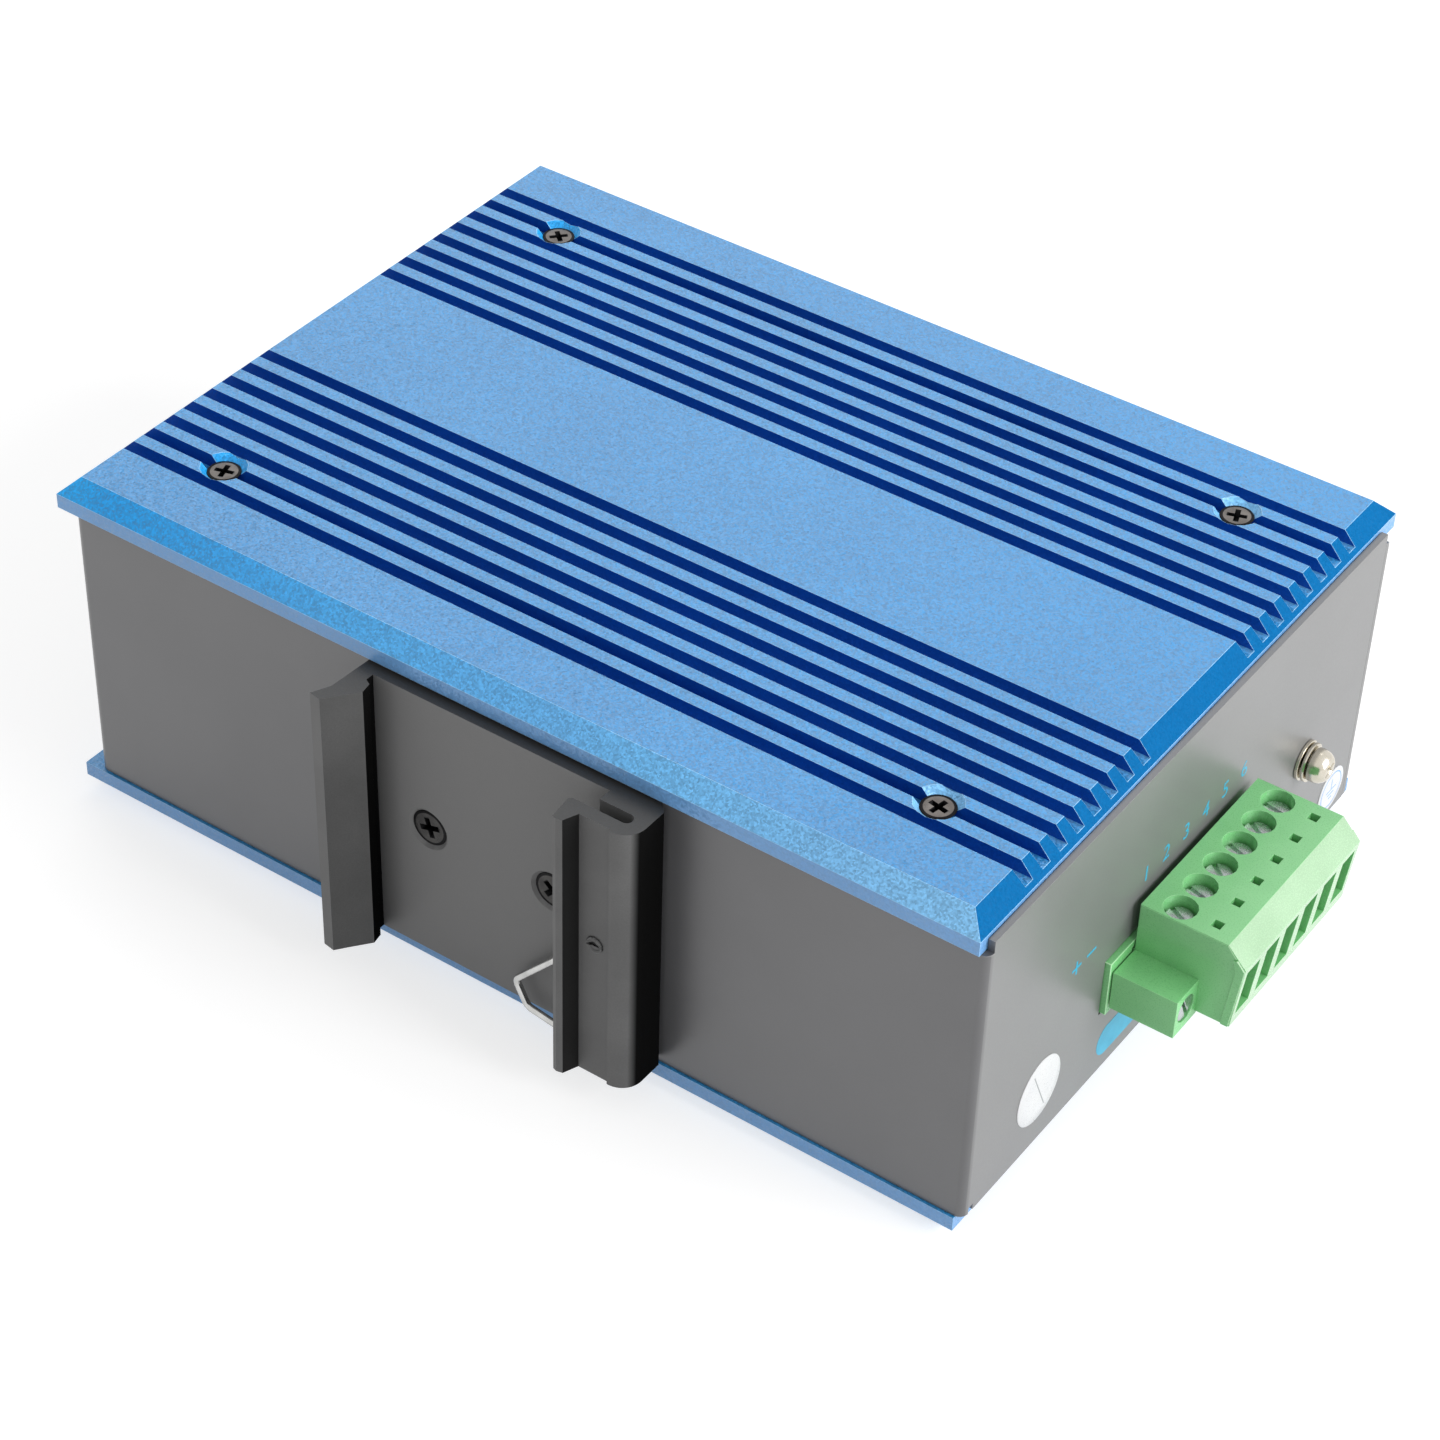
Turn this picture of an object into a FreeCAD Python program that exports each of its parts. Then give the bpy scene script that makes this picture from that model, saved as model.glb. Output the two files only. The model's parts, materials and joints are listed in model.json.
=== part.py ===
import FreeCAD, Part

import math
import os

import Sketcher
from FreeCAD import Placement, Rotation, Vector

# Rail-mounted network switch, lying on its lower cover.
# X runs along the grooved covers, with the power terminal at +X.
# Y runs from the rail clip at -Y to the socket panel at +Y, and Z is up.
# The origin is the middle of the lower cover's resting face. Lengths are in millimetres.

doc = FreeCAD.newDocument("rail_switch")
sheet = doc.addObject("Spreadsheet::Sheet", "Sizes")


class Size:
    """A length that keeps its value and the sheet formula that the model is bound to."""

    def __init__(self, value, formula):
        self.value = float(value)
        self.formula = formula

    def __add__(self, other):
        return Size(self.value + number(other), joined(self, "+", other))

    def __radd__(self, other):
        return Size(number(other) + self.value, joined(other, "+", self))

    def __sub__(self, other):
        return Size(self.value - number(other), joined(self, "-", other))

    def __rsub__(self, other):
        return Size(number(other) - self.value, joined(other, "-", self))

    def __mul__(self, other):
        return Size(self.value * number(other), joined(self, "*", other))

    def __rmul__(self, other):
        return Size(number(other) * self.value, joined(other, "*", self))

    def __truediv__(self, other):
        return Size(self.value / number(other), joined(self, "/", other))

    def __neg__(self):
        return Size(-self.value, "(0 - %s)" % self.formula)


def number(amount):
    return amount.value if isinstance(amount, Size) else float(amount)


def formula(amount):
    if isinstance(amount, Size):
        return amount.formula
    return "(%r)" % float(amount)


def joined(left, sign, right):
    return "(%s %s %s)" % (formula(left), sign, formula(right))


rows = []


def size(name, value):
    """Write one driving size into the sheet under its own name."""
    rows.append(name)
    row = len(rows)
    sheet.set("A%d" % row, name)
    sheet.set("B%d" % row, str(value))
    sheet.setAlias("B%d" % row, name)
    return Size(value, "Sizes." + name)


def bind(item, prop, amount):
    """Set a property, and tie it to the sheet where it comes from a named size."""
    if isinstance(amount, Size):
        item.setExpression(prop, amount.formula)


def place(item, x=0, y=0, z=0, turn=None):
    """Put a finished piece where it belongs, turned as asked."""
    item.Placement = Placement(Vector(number(x), number(y), number(z)), turn or Rotation())
    bind(item, "Placement.Base.x", x)
    bind(item, "Placement.Base.y", y)
    bind(item, "Placement.Base.z", z)
    return item


# Sketches and features

class Drawing:
    """A sketch on one of its body's own planes, whose points are all held by distances."""

    def __init__(self, body, name, plane="XY_Plane", offset=0):
        self.sketch = body.newObject("Sketcher::SketchObject", name)
        support = [item for item in body.Origin.OriginFeatures if item.Role == plane][0]
        self.sketch.AttachmentSupport = [(support, "")]
        self.sketch.MapMode = "FlatFace"
        self.sketch.AttachmentOffset = Placement(Vector(0, 0, number(offset)), Rotation())
        bind(self.sketch, "AttachmentOffset.Base.z", offset)
        self.shapes = []
        self.rules = []
        self.ties = []

    def hold(self, kind, shape, point, amount):
        axis = -2 if kind == "DistanceX" else -1
        if not isinstance(amount, Size) and amount == 0:
            self.rules.append(Sketcher.Constraint("PointOnObject", shape, point, axis))
            return
        if isinstance(amount, Size):
            self.ties.append((len(self.rules), amount.formula))
        self.rules.append(Sketcher.Constraint(kind, -1, 1, shape, point, number(amount)))

    def outline(self, corners):
        """A closed line of straight edges through the corners."""
        first = len(self.shapes)
        count = len(corners)
        spots = [Vector(number(x), number(y), 0) for x, y in corners]
        for i in range(count):
            self.shapes.append(Part.LineSegment(spots[i], spots[(i + 1) % count]))
        for i in range(count):
            self.rules.append(Sketcher.Constraint("Coincident", first + i, 2, first + (i + 1) % count, 1))
            self.hold("DistanceX", first + i, 1, corners[i][0])
            self.hold("DistanceY", first + i, 1, corners[i][1])
        return self

    def rectangle(self, x0, x1, y0, y1):
        return self.outline([(x0, y0), (x1, y0), (x1, y1), (x0, y1)])

    def circle(self, x, y, diameter):
        index = len(self.shapes)
        centre = Vector(number(x), number(y), 0)
        self.shapes.append(Part.Circle(centre, Vector(0, 0, 1), number(diameter) / 2))
        self.hold("DistanceX", index, 3, x)
        self.hold("DistanceY", index, 3, y)
        if isinstance(diameter, Size):
            self.ties.append((len(self.rules), diameter.formula))
        self.rules.append(Sketcher.Constraint("Diameter", index, number(diameter)))
        return self

    def polygon(self, x, y, diameter, sides):
        """A small round opening drawn as an even polygon, measured over its corners."""
        corners = []
        for index in range(sides):
            turn = 2 * math.pi * index / sides
            corners.append((x + diameter * (math.cos(turn) / 2), y + diameter * (math.sin(turn) / 2)))
        return self.outline(corners)

    def done(self):
        self.sketch.addGeometry(self.shapes, False)
        self.sketch.addConstraint(self.rules)
        for index, text in self.ties:
            self.sketch.setExpression("Constraints[%d]" % index, text)
        return self.sketch


def new_body(label):
    body = doc.addObject("PartDesign::Body", label)
    body.Label = label
    return body


def pad(body, name, sketch, length, both_ways=False):
    feature = body.newObject("PartDesign::Pad", name)
    feature.Profile = sketch
    feature.Length = number(length)
    bind(feature, "Length", length)
    if both_ways:
        feature.SideType = "Symmetric"
    return feature


def pocket(body, name, sketch, depth=None):
    """Cut to a depth against the sketch's normal, or right through both ways."""
    feature = body.newObject("PartDesign::Pocket", name)
    feature.Profile = sketch
    if depth is None:
        feature.SideType = "Symmetric"
        feature.Type = "ThroughAll"
        return feature
    feature.Length = number(depth)
    bind(feature, "Length", depth)
    return feature


def repeat(body, name, feature, axis, pitch, count, backwards=False):
    """Repeat a feature along one of the body's own axes."""
    row = body.newObject("PartDesign::LinearPattern", name)
    row.Originals = [feature]
    direction = [item for item in body.Origin.OriginFeatures if item.Role == axis][0]
    row.Direction = (direction, [""])
    row.Reversed = backwards
    row.Mode = "Spacing"
    row.Offset = number(pitch)
    bind(row, "Offset", pitch)
    row.Occurrences = count
    body.Tip = row
    return row


def straight_edges(shape, along, spots):
    """Names of the straight edges that run along one direction through the given spots."""
    names = []
    for index, edge in enumerate(shape.Edges):
        if len(edge.Vertexes) != 2 or not isinstance(edge.Curve, Part.Line):
            continue
        start = edge.Vertexes[0].Point
        end = edge.Vertexes[1].Point
        if abs((end - start).normalize().dot(along)) < 0.999:
            continue
        for spot in spots:
            gap = (start - spot).cross(along).Length
            if gap < 0.01:
                names.append("Edge%d" % (index + 1))
    return names


def round_edges(body, name, feature, along, spots, radius):
    doc.recompute()
    fillet = body.newObject("PartDesign::Fillet", name)
    points = [Vector(*[number(part) for part in spot]) for spot in spots]
    fillet.Base = (feature, straight_edges(feature.Shape, along, points))
    fillet.Radius = number(radius)
    bind(fillet, "Radius", radius)
    return fillet


def group(label, items):
    """Several separate like pieces kept as one named sub-part."""
    compound = doc.addObject("Part::Compound", label)
    compound.Label = label
    compound.Links = items
    return compound


def block(label, x0, x1, y0, y1, z0, z1):
    """A rectangular piece between two corners."""
    item = doc.addObject("Part::Box", label)
    item.Label = label
    for prop, low, high in (("Length", x0, x1), ("Width", y0, y1), ("Height", z0, z1)):
        setattr(item, prop, number(high) - number(low))
        bind(item, prop, high - low)
    return place(item, x0, y0, z0)


def prism(label, sides, diameter, length, x=0, y=0, z=0, turn=None):
    """A small round piece with even flats, that runs up from a point or along its turned axis."""
    item = doc.addObject("Part::Prism", label)
    item.Label = label
    item.Polygon = sides
    item.Circumradius = number(diameter) / 2
    bind(item, "Circumradius", diameter / 2)
    item.Height = number(length)
    bind(item, "Height", length)
    return place(item, x, y, z, turn)


def rod(label, diameter, length, z=0):
    """A true cylinder on the Z axis, for what turns."""
    item = doc.addObject("Part::Cylinder", label)
    item.Label = label
    item.Radius = number(diameter) / 2
    bind(item, "Radius", diameter / 2)
    item.Height = number(length)
    bind(item, "Height", length)
    return place(item, 0, 0, z)


def taper(label, sides, low_width, high_width, low, high):
    """A 45 degree cone with even flats between two levels, wide at one end: a short block with its rim cut away."""
    body = new_body(label)
    widens = number(high_width) > number(low_width)
    wide = high_width if widens else low_width
    plan = Drawing(body, label + "_plan", "XY_Plane", low)
    plan.polygon(Size(0, "0"), Size(0, "0"), wide, sides)
    sketch = plan.done()
    plate = pad(body, label + "_plate", sketch, high - low)
    doc.recompute([sketch, plate])
    level = number(low) if widens else number(high)
    rim = []
    for index, edge in enumerate(plate.Shape.Edges):
        if all(abs(vertex.Z - level) < 0.001 for vertex in edge.Vertexes):
            rim.append("Edge%d" % (index + 1))
    slope = body.newObject("PartDesign::Chamfer", label + "_slope")
    slope.Base = (plate, rim)
    slope.Size = number(high - low - taper_land)
    bind(slope, "Size", high - low - taper_land)
    return body


def cut(label, base, tools):
    """Take the tools away from the base."""
    tool = tools[0]
    if len(tools) > 1:
        tool = doc.addObject("Part::MultiFuse", label + "_tools")
        tool.Shapes = tools
    item = doc.addObject("Part::Cut", label)
    item.Label = label
    item.Base = base
    item.Tool = tool
    return item


def fuse(label, parts):
    item = doc.addObject("Part::MultiFuse", label)
    item.Label = label
    item.Shapes = parts
    item.Refine = True
    return item


UP = Rotation()
DOWN = Rotation(Vector(1, 0, 0), 180)
TO_FRONT_X = Rotation(Vector(0, 1, 0), 90)
BORE_SIDES = 8
HEAD_SIDES = 12
WELL_SIDES = 16
LABEL_SIDES = 36
TO_REAR_Y = Rotation(Vector(1, 0, 0), 90)
X_AXIS = Vector(1, 0, 0)
Z_AXIS = Vector(0, 0, 1)

taper_land = size("taper_land", 0.1)

nodes = []

# Driving sizes of the housing
cover_length = size("cover_length", 145.0)
cover_width = size("cover_width", 105.0)
total_height = size("total_height", 54.0)
cover_band = size("cover_band", 2.2)
cover_chamfer = size("cover_chamfer", 2.5)
sheet_wall = size("sheet_wall", 1.0)
bend_radius = size("bend_radius", 1.3)
fit_gap = size("fit_gap", 0.1)
plain_end_inset = size("plain_end_inset", 2.5)
clip_side_inset = size("clip_side_inset", 0.4)
panel_side_inset = size("panel_side_inset", 3.2)
end_lip_rise = size("end_lip_rise", 1.8)
flange_width = size("flange_width", 20.0)
cover_thickness = cover_band + cover_chamfer

# Planes that the pieces share
lower_inner = cover_thickness
upper_inner = total_height - cover_thickness
chassis_low = lower_inner + fit_gap
chassis_high = upper_inner - fit_gap
chassis_height = chassis_high - chassis_low
middle_height = total_height / 2
port_end_inner = cover_length / 2 + fit_gap
port_end_outer = port_end_inner + sheet_wall
plain_end_outer = -(cover_length / 2) + plain_end_inset
plain_end_inner = plain_end_outer + sheet_wall
rear_outer = -(cover_width / 2) + clip_side_inset
rear_inner = rear_outer + sheet_wall
panel_outer = cover_width / 2 - panel_side_inset
panel_inner = panel_outer - sheet_wall

# Grooves, screws and their holes in the covers
groove_count = 8
groove_pitch = size("groove_pitch", 3.95)
groove_opening = size("groove_opening", 2.25)
groove_floor = size("groove_floor", 1.7)
groove_depth = size("groove_depth", 1.9)
centre_band = size("centre_band", 24.1)
cover_screw_x = size("cover_screw_x", 56.6)
cover_screw_hole = size("cover_screw_hole", 3.0)
cover_screw_sink = size("cover_screw_sink", 6.4)
first_groove = centre_band / 2 + groove_opening / 2
cover_screw_y = first_groove + groove_pitch * (groove_count - 2)


def heat_sink_cover(label):
    """Extruded plate: long chamfers in its section, grooves along it, ends milled to the same chamfer."""
    body = new_body(label + "_extrusion")
    half = cover_width / 2
    section = Drawing(body, label + "_section", "YZ_Plane")
    section.outline([
        (-half, 0),
        (half, 0),
        (half, cover_band),
        (half - cover_chamfer, cover_thickness),
        (-half + cover_chamfer, cover_thickness),
        (-half, cover_band),
    ])
    pad(body, label + "_plate", section.done(), cover_length, both_ways=True)
    for side, name in ((1, "front"), (-1, "rear")):
        groove = Drawing(body, label + "_groove_" + name, "YZ_Plane")
        middle = first_groove * side
        groove.outline([
            (middle - groove_floor / 2, cover_thickness - groove_depth),
            (middle + groove_floor / 2, cover_thickness - groove_depth),
            (middle + groove_opening / 2, cover_thickness + 1.0),
            (middle - groove_opening / 2, cover_thickness + 1.0),
        ])
        channel = pocket(body, label + "_channel_" + name, groove.done())
        repeat(body, label + "_row_" + name, channel, "Y_Axis", groove_pitch, groove_count, side < 0)
    for side, name in ((1, "right"), (-1, "left")):
        end = cover_length / 2 * side
        bevel = Drawing(body, label + "_bevel_" + name, "XZ_Plane")
        bevel.outline([
            (end, cover_band),
            (end + cover_chamfer * side, cover_band),
            (end + cover_chamfer * side, cover_thickness + cover_chamfer),
            (end - cover_chamfer * side * 2, cover_thickness + cover_chamfer),
        ])
        pocket(body, label + "_mill_" + name, bevel.done())
    sinks = []
    sink_corners = cover_screw_sink / math.cos(math.pi / WELL_SIDES)
    sink_root = cover_thickness - (cover_screw_sink - cover_screw_hole) / 2
    for x_side, across in ((-1, "left"), (1, "right")):
        for y_side, along in ((-1, "rear"), (1, "front")):
            name = "%s_sink_%s_%s" % (label, across, along)
            cone = taper(name + "_cone", WELL_SIDES, cover_screw_hole, sink_corners, sink_root,
                         cover_thickness + taper_land)
            bore = prism(name + "_bore", HEAD_SIDES, cover_screw_hole, cover_thickness * 2, 0, 0,
                         -cover_thickness / 2)
            sinks.append(place(fuse(name, [cone, bore]), cover_screw_x * x_side, cover_screw_y * y_side))
    return cut(label, body, sinks)


upper_cover = place(heat_sink_cover("upper_cover"), z=upper_inner)
lower_cover = place(heat_sink_cover("lower_cover"), z=lower_inner, turn=DOWN)
nodes += [upper_cover, lower_cover]

# Power terminal: places that the end wall, the header and the plug share
pole_count = 6
pole_pitch = size("pole_pitch", 5.08)
terminal_y = size("terminal_y", 0.1)
header_low = size("header_low", 16.2)
header_height = size("header_height", 8.8)
header_proud = size("header_proud", 0.8)
header_depth = size("header_depth", 14.2)
header_half_width = size("header_half_width", 21.0)
header_gap = size("header_gap", 0.25)
flange_axis_out = size("flange_axis_out", 2.66)
header_front = port_end_outer + header_proud
header_rear = header_front - header_depth
header_high = header_low + header_height
plug_half = pole_pitch * pole_count / 2
flange_axis_y = plug_half + flange_axis_out
flange_axis_z = header_low + header_height / 2

# Earth screw on the end wall
earth_y = size("earth_y", 32.2)
earth_z = size("earth_z", 22.6)

# Rail clip: where its screws pass the rear wall
clip_x = size("clip_x", 1.2)
clip_screw_pitch = size("clip_screw_pitch", 20.0)
nut_width = size("nut_width", 5.6)
nut_height = size("nut_height", 1.5)
cover_nut_bore = size("cover_nut_bore", 2.75)
clip_nut_bore = size("clip_nut_bore", 3.2)

# Folded chassis: rear wall, two end walls and two flanges that carry the covers
flange_front = rear_inner + flange_width
flange_end_gap = size("flange_end_gap", 3.0)


def chassis_sheet():
    body = new_body("chassis")
    plan = Drawing(body, "chassis_plan", "XY_Plane", chassis_low)
    plan.outline([
        (plain_end_outer, panel_inner),
        (plain_end_outer, rear_outer),
        (port_end_outer, rear_outer),
        (port_end_outer, panel_inner),
        (port_end_inner, panel_inner),
        (port_end_inner, rear_inner),
        (plain_end_inner, rear_inner),
        (plain_end_inner, panel_inner),
    ])
    walls = pad(body, "chassis_walls", plan.done(), chassis_height)
    outer = round_edges(body, "chassis_bends", walls, Z_AXIS, [
        (plain_end_outer, rear_outer, 0),
        (port_end_outer, rear_outer, 0),
    ], bend_radius)
    inner = round_edges(body, "chassis_inner_bends", outer, Z_AXIS, [
        (plain_end_inner, rear_inner, 0),
        (port_end_inner, rear_inner, 0),
    ], bend_radius - sheet_wall)
    lip = Drawing(body, "chassis_lip_plan", "XY_Plane", chassis_high)
    lip.rectangle(port_end_inner, port_end_outer, rear_outer + bend_radius, panel_inner)
    pad(body, "chassis_end_lip", lip.done(), end_lip_rise)
    low = Drawing(body, "chassis_low_flange_plan", "XY_Plane", chassis_low)
    low.rectangle(plain_end_inner + flange_end_gap, port_end_inner - flange_end_gap, rear_inner, flange_front)
    pad(body, "chassis_low_flange", low.done(), sheet_wall)
    high = Drawing(body, "chassis_high_flange_plan", "XY_Plane", chassis_high - sheet_wall)
    high.rectangle(plain_end_inner + flange_end_gap, port_end_inner - flange_end_gap, rear_inner, flange_front)
    pad(body, "chassis_high_flange", high.done(), sheet_wall)
    nuts = Drawing(body, "chassis_cover_nut_spots", "XY_Plane")
    for side in (-1, 1):
        nuts.polygon(cover_screw_x * side, -cover_screw_y, cover_nut_bore, BORE_SIDES)
    pocket(body, "chassis_cover_nut_holes", nuts.done())
    clip_nuts = Drawing(body, "chassis_clip_nut_spots", "XZ_Plane")
    for side in (-1, 1):
        clip_nuts.polygon(clip_x + clip_screw_pitch / 2 * side, middle_height, clip_nut_bore, BORE_SIDES)
    pocket(body, "chassis_clip_nut_holes", clip_nuts.done())
    window = Drawing(body, "chassis_terminal_outline", "YZ_Plane", port_end_outer)
    half = header_half_width + header_gap
    window.rectangle(terminal_y - half, terminal_y + half, header_low - header_gap, header_high + header_gap)
    window.polygon(earth_y, earth_z, clip_nut_bore, BORE_SIDES)
    relief = sheet_wall
    window.rectangle(rear_outer + bend_radius, rear_outer + bend_radius + relief,
                     chassis_low - relief, chassis_low + relief)
    pocket(body, "chassis_terminal_window", window.done(), sheet_wall * 3)
    return body


chassis = chassis_sheet()
nodes.append(chassis)

# Socket block: places that the panel and the board share
board_top = size("board_top", 16.0)
board_thickness = size("board_thickness", 1.6)
jack_columns = 4
jack_pitch = size("jack_pitch", 14.0)
jack_height = size("jack_height", 26.6)
jack_depth = size("jack_depth", 27.0)
jack_x = size("jack_x", -14.0)
jack_proud = size("jack_proud", 0.5)
jack_gap = size("jack_gap", 0.3)
shield_wall = size("shield_wall", 0.3)
jack_half = jack_pitch * jack_columns / 2 + shield_wall
jack_high = board_top + jack_height
jack_front = panel_outer + jack_proud
jack_rear = jack_front - jack_depth

lamp_columns = 5
lamp_rows = 2
lamp_hole = size("lamp_hole", 2.4)
lamp_pitch = size("lamp_pitch", 6.0)
lamp_x = size("lamp_x", 26.0)
lamp_z = size("lamp_z", 26.0)
lamp_row_rise = size("lamp_row_rise", 8.0)
panel_flange_rear = panel_inner - flange_width + panel_side_inset


def socket_panel():
    """Folded panel with the socket window, the lamp holes and two flanges under the covers."""
    body = new_body("socket_panel")
    face = Drawing(body, "socket_panel_face", "XZ_Plane", -panel_outer)
    face.rectangle(plain_end_outer, port_end_outer, chassis_low, chassis_high)
    pad(body, "socket_panel_wall", face.done(), sheet_wall)
    for name, level in (("low", chassis_low), ("high", chassis_high - sheet_wall)):
        flange = Drawing(body, "socket_panel_%s_plan" % name, "XY_Plane", level)
        flange.rectangle(plain_end_inner + flange_end_gap, port_end_inner - flange_end_gap,
                         panel_flange_rear, panel_inner)
        pad(body, "socket_panel_%s_flange" % name, flange.done(), sheet_wall)
    window = Drawing(body, "socket_panel_window", "XZ_Plane", -panel_outer)
    window.rectangle(jack_x - jack_half - jack_gap, jack_x + jack_half + jack_gap,
                     board_top - jack_gap, jack_high + jack_gap)
    for column in range(lamp_columns):
        for row in range(lamp_rows):
            across = lamp_x + lamp_pitch * column
            level = lamp_z + lamp_row_rise * row
            window.rectangle(across - lamp_hole / 2, across + lamp_hole / 2,
                             level - lamp_hole / 2, level + lamp_hole / 2)
    opening = pocket(body, "socket_panel_openings", window.done(), sheet_wall * 2)
    opening.Reversed = True
    nuts = Drawing(body, "socket_panel_nut_spots", "XY_Plane")
    for side in (-1, 1):
        nuts.polygon(cover_screw_x * side, cover_screw_y, cover_nut_bore, BORE_SIDES)
    pocket(body, "socket_panel_nut_holes", nuts.done())
    return body


panel = socket_panel()
nodes.append(panel)

# Countersunk screws with a cross recess
recess_depth = size("recess_depth", 1.1)
recess_arm = size("recess_arm", 0.62)
cover_head = size("cover_head", 4.7)
cover_screw_length = size("cover_screw_length", 7.6)
cover_shank = size("cover_shank", 2.45)
clip_head = size("clip_head", 5.5)
clip_shank = size("clip_shank", 2.9)
clip_screw_length = size("clip_screw_length", 6.0)


def cross(label, item, reach, level):
    """A cross recess sunk from the given level."""
    arm = recess_arm / 2
    bars = [
        block(label + "_bar_x", -reach, reach, -arm, arm, level - recess_depth, level + 1.0),
        block(label + "_bar_y", -arm, arm, -reach, reach, level - recess_depth, level + 1.0),
    ]
    return cut(label, item, bars)


def countersunk_screw(label, head, shank, length):
    """Flat top at the origin, pointing down: a head cone and a plain shank."""
    root = (shank - head) / 2
    cone = taper(label + "_cone", HEAD_SIDES, shank, head, root, Size(0, "0"))
    stem = prism(label + "_stem", HEAD_SIDES, shank, length + root, 0, 0, -length)
    return cross(label, fuse(label + "_blank", [cone, stem]), head * 0.22, Size(0, "0"))


cover_screw_drop = (cover_screw_sink - cover_head) / 2 - 0.03 - taper_land


def cover_screws(label, level, turn, way):
    items = []
    for x_side in (-1, 1):
        for y_side in (-1, 1):
            name = "%s_%s_%s" % (label, "left" if x_side < 0 else "right", "rear" if y_side < 0 else "front")
            screw = countersunk_screw(name, cover_head, cover_shank, cover_screw_length)
            height = level - cover_screw_drop * way
            items.append(place(screw, cover_screw_x * x_side, cover_screw_y * y_side, height, turn))
    return group(label, items)


nodes.append(cover_screws("upper_cover_screws", total_height, UP, 1))
nodes.append(cover_screws("lower_cover_screws", Size(0, "0"), DOWN, -1))

# Clinch nuts pressed into the sheet

def clinch_nut(label, bore):
    """Stands on the sheet's inside, measured from the sheet's outside at the origin."""
    outer = prism(label + "_outer", HEAD_SIDES, nut_width, nut_height, 0, 0, sheet_wall)
    hole = prism(label + "_bore", BORE_SIDES, bore, nut_height * 2, 0, 0, sheet_wall - nut_height / 2)
    return cut(label, outer, [hole])


def cover_nuts(label, level, turn):
    items = []
    for x_side in (-1, 1):
        for y_side in (-1, 1):
            name = "%s_%s_%s" % (label, "left" if x_side < 0 else "right", "rear" if y_side < 0 else "front")
            nut = clinch_nut(name, cover_nut_bore)
            items.append(place(nut, cover_screw_x * x_side, cover_screw_y * y_side, level, turn))
    return group(label, items)


nodes.append(cover_nuts("upper_clinch_nuts", chassis_high, DOWN))
nodes.append(cover_nuts("lower_clinch_nuts", chassis_low, UP))

# Rail clip: one moulded piece with a fixed hook, a sprung hairpin arm and its lip
clip_low = size("clip_low", 5.6)
clip_high = size("clip_high", 48.8)
clip_plate = size("clip_plate", 2.0)
rail_seat = size("rail_seat", 18.2)
hook_lip = size("hook_lip", 17.0)
hook_under = size("hook_under", 3.3)
hook_reach = size("hook_reach", 9.9)
arm_lip = size("arm_lip", 15.9)
slot_mouth = size("slot_mouth", 19.1)
slot_end = size("slot_end", 24.7)
slot_low = size("slot_low", 4.0)
slot_width = size("slot_width", 1.8)
arm_thickness = size("arm_thickness", 1.9)
bow_width = size("bow_width", 26.8)
bow_step = size("bow_step", 0.4)
slot_high = slot_low + slot_width
arm_front = slot_high + arm_thickness
bow_front = arm_front + bow_step
bow_radius = (bow_front - slot_low - slot_width / 2) * 0.97
clip_height = clip_high - clip_low


def rail_clip():
    """The section lies in plan, drawn from the rear wall outwards, and is drawn up to the clip's height."""
    body = new_body("rail_clip")
    plan = Drawing(body, "rail_clip_plan", "XY_Plane")
    corners = [
        (-20.5, 0),
        (-20.9, hook_reach - 3.0),
        (-22.2, hook_reach - 0.3),
        (-20.4, hook_reach),
        (-19.2, hook_reach - 1.6),
        (-hook_lip, hook_reach - 4.4),
        (-hook_lip - 0.3, hook_under + 0.5),
        (-rail_seat, hook_under),
        (-rail_seat, clip_plate),
        (slot_mouth, clip_plate),
        (slot_mouth, slot_low),
        (slot_end, slot_low),
        (slot_end, slot_high),
        (arm_lip + 0.5, slot_high),
        (arm_lip, slot_high + 0.4),
        (arm_lip + 0.4, hook_reach),
        (arm_lip + 1.0, hook_reach + 0.2),
        (arm_lip + 1.9, hook_reach),
        (arm_lip + 2.8, arm_front),
        (bow_width - 3.3, arm_front),
        (bow_width - 3.3, bow_front),
        (bow_width, bow_front),
        (bow_width, 1.3),
        (bow_width - 1.3, 0),
    ]
    plan.outline([(x, -out) for x, out in corners])
    profile = pad(body, "rail_clip_profile", plan.done(), clip_height)
    bow = round_edges(body, "rail_clip_bow", profile, Z_AXIS, [(bow_width, -bow_front, 0)], bow_radius)
    slot = round_edges(body, "rail_clip_slot_end", bow, Z_AXIS, [
        (slot_end, -slot_low, 0),
        (slot_end, -slot_high, 0),
    ], slot_width * 0.48)
    spots = Drawing(body, "rail_clip_hole_spots", "XZ_Plane", clip_plate)
    for side in (-1, 1):
        spots.circle(clip_screw_pitch / 2 * side, middle_height - clip_low, clip_hole)
    layout = spots.done()
    doc.recompute()
    hole = body.newObject("PartDesign::Hole", "rail_clip_holes")
    hole.Profile = layout
    hole.ThreadType = "None"
    hole.DepthType = "Dimension"
    hole.Depth = number(clip_plate)
    bind(hole, "Depth", clip_plate)
    hole.DrillPoint = "Flat"
    hole.Diameter = number(clip_hole)
    hole.HoleCutType = "Countersink"
    hole.HoleCutCustomValues = True
    hole.HoleCutDiameter = number(clip_sink)
    hole.HoleCutCountersinkAngle = 90
    bind(hole, "Diameter", clip_hole)
    bind(hole, "HoleCutDiameter", clip_sink)
    return body


clip_hole = size("clip_hole", 3.4)
clip_sink = size("clip_sink", 6.4)
nodes.append(place(rail_clip(), clip_x, rear_outer, clip_low))

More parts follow.
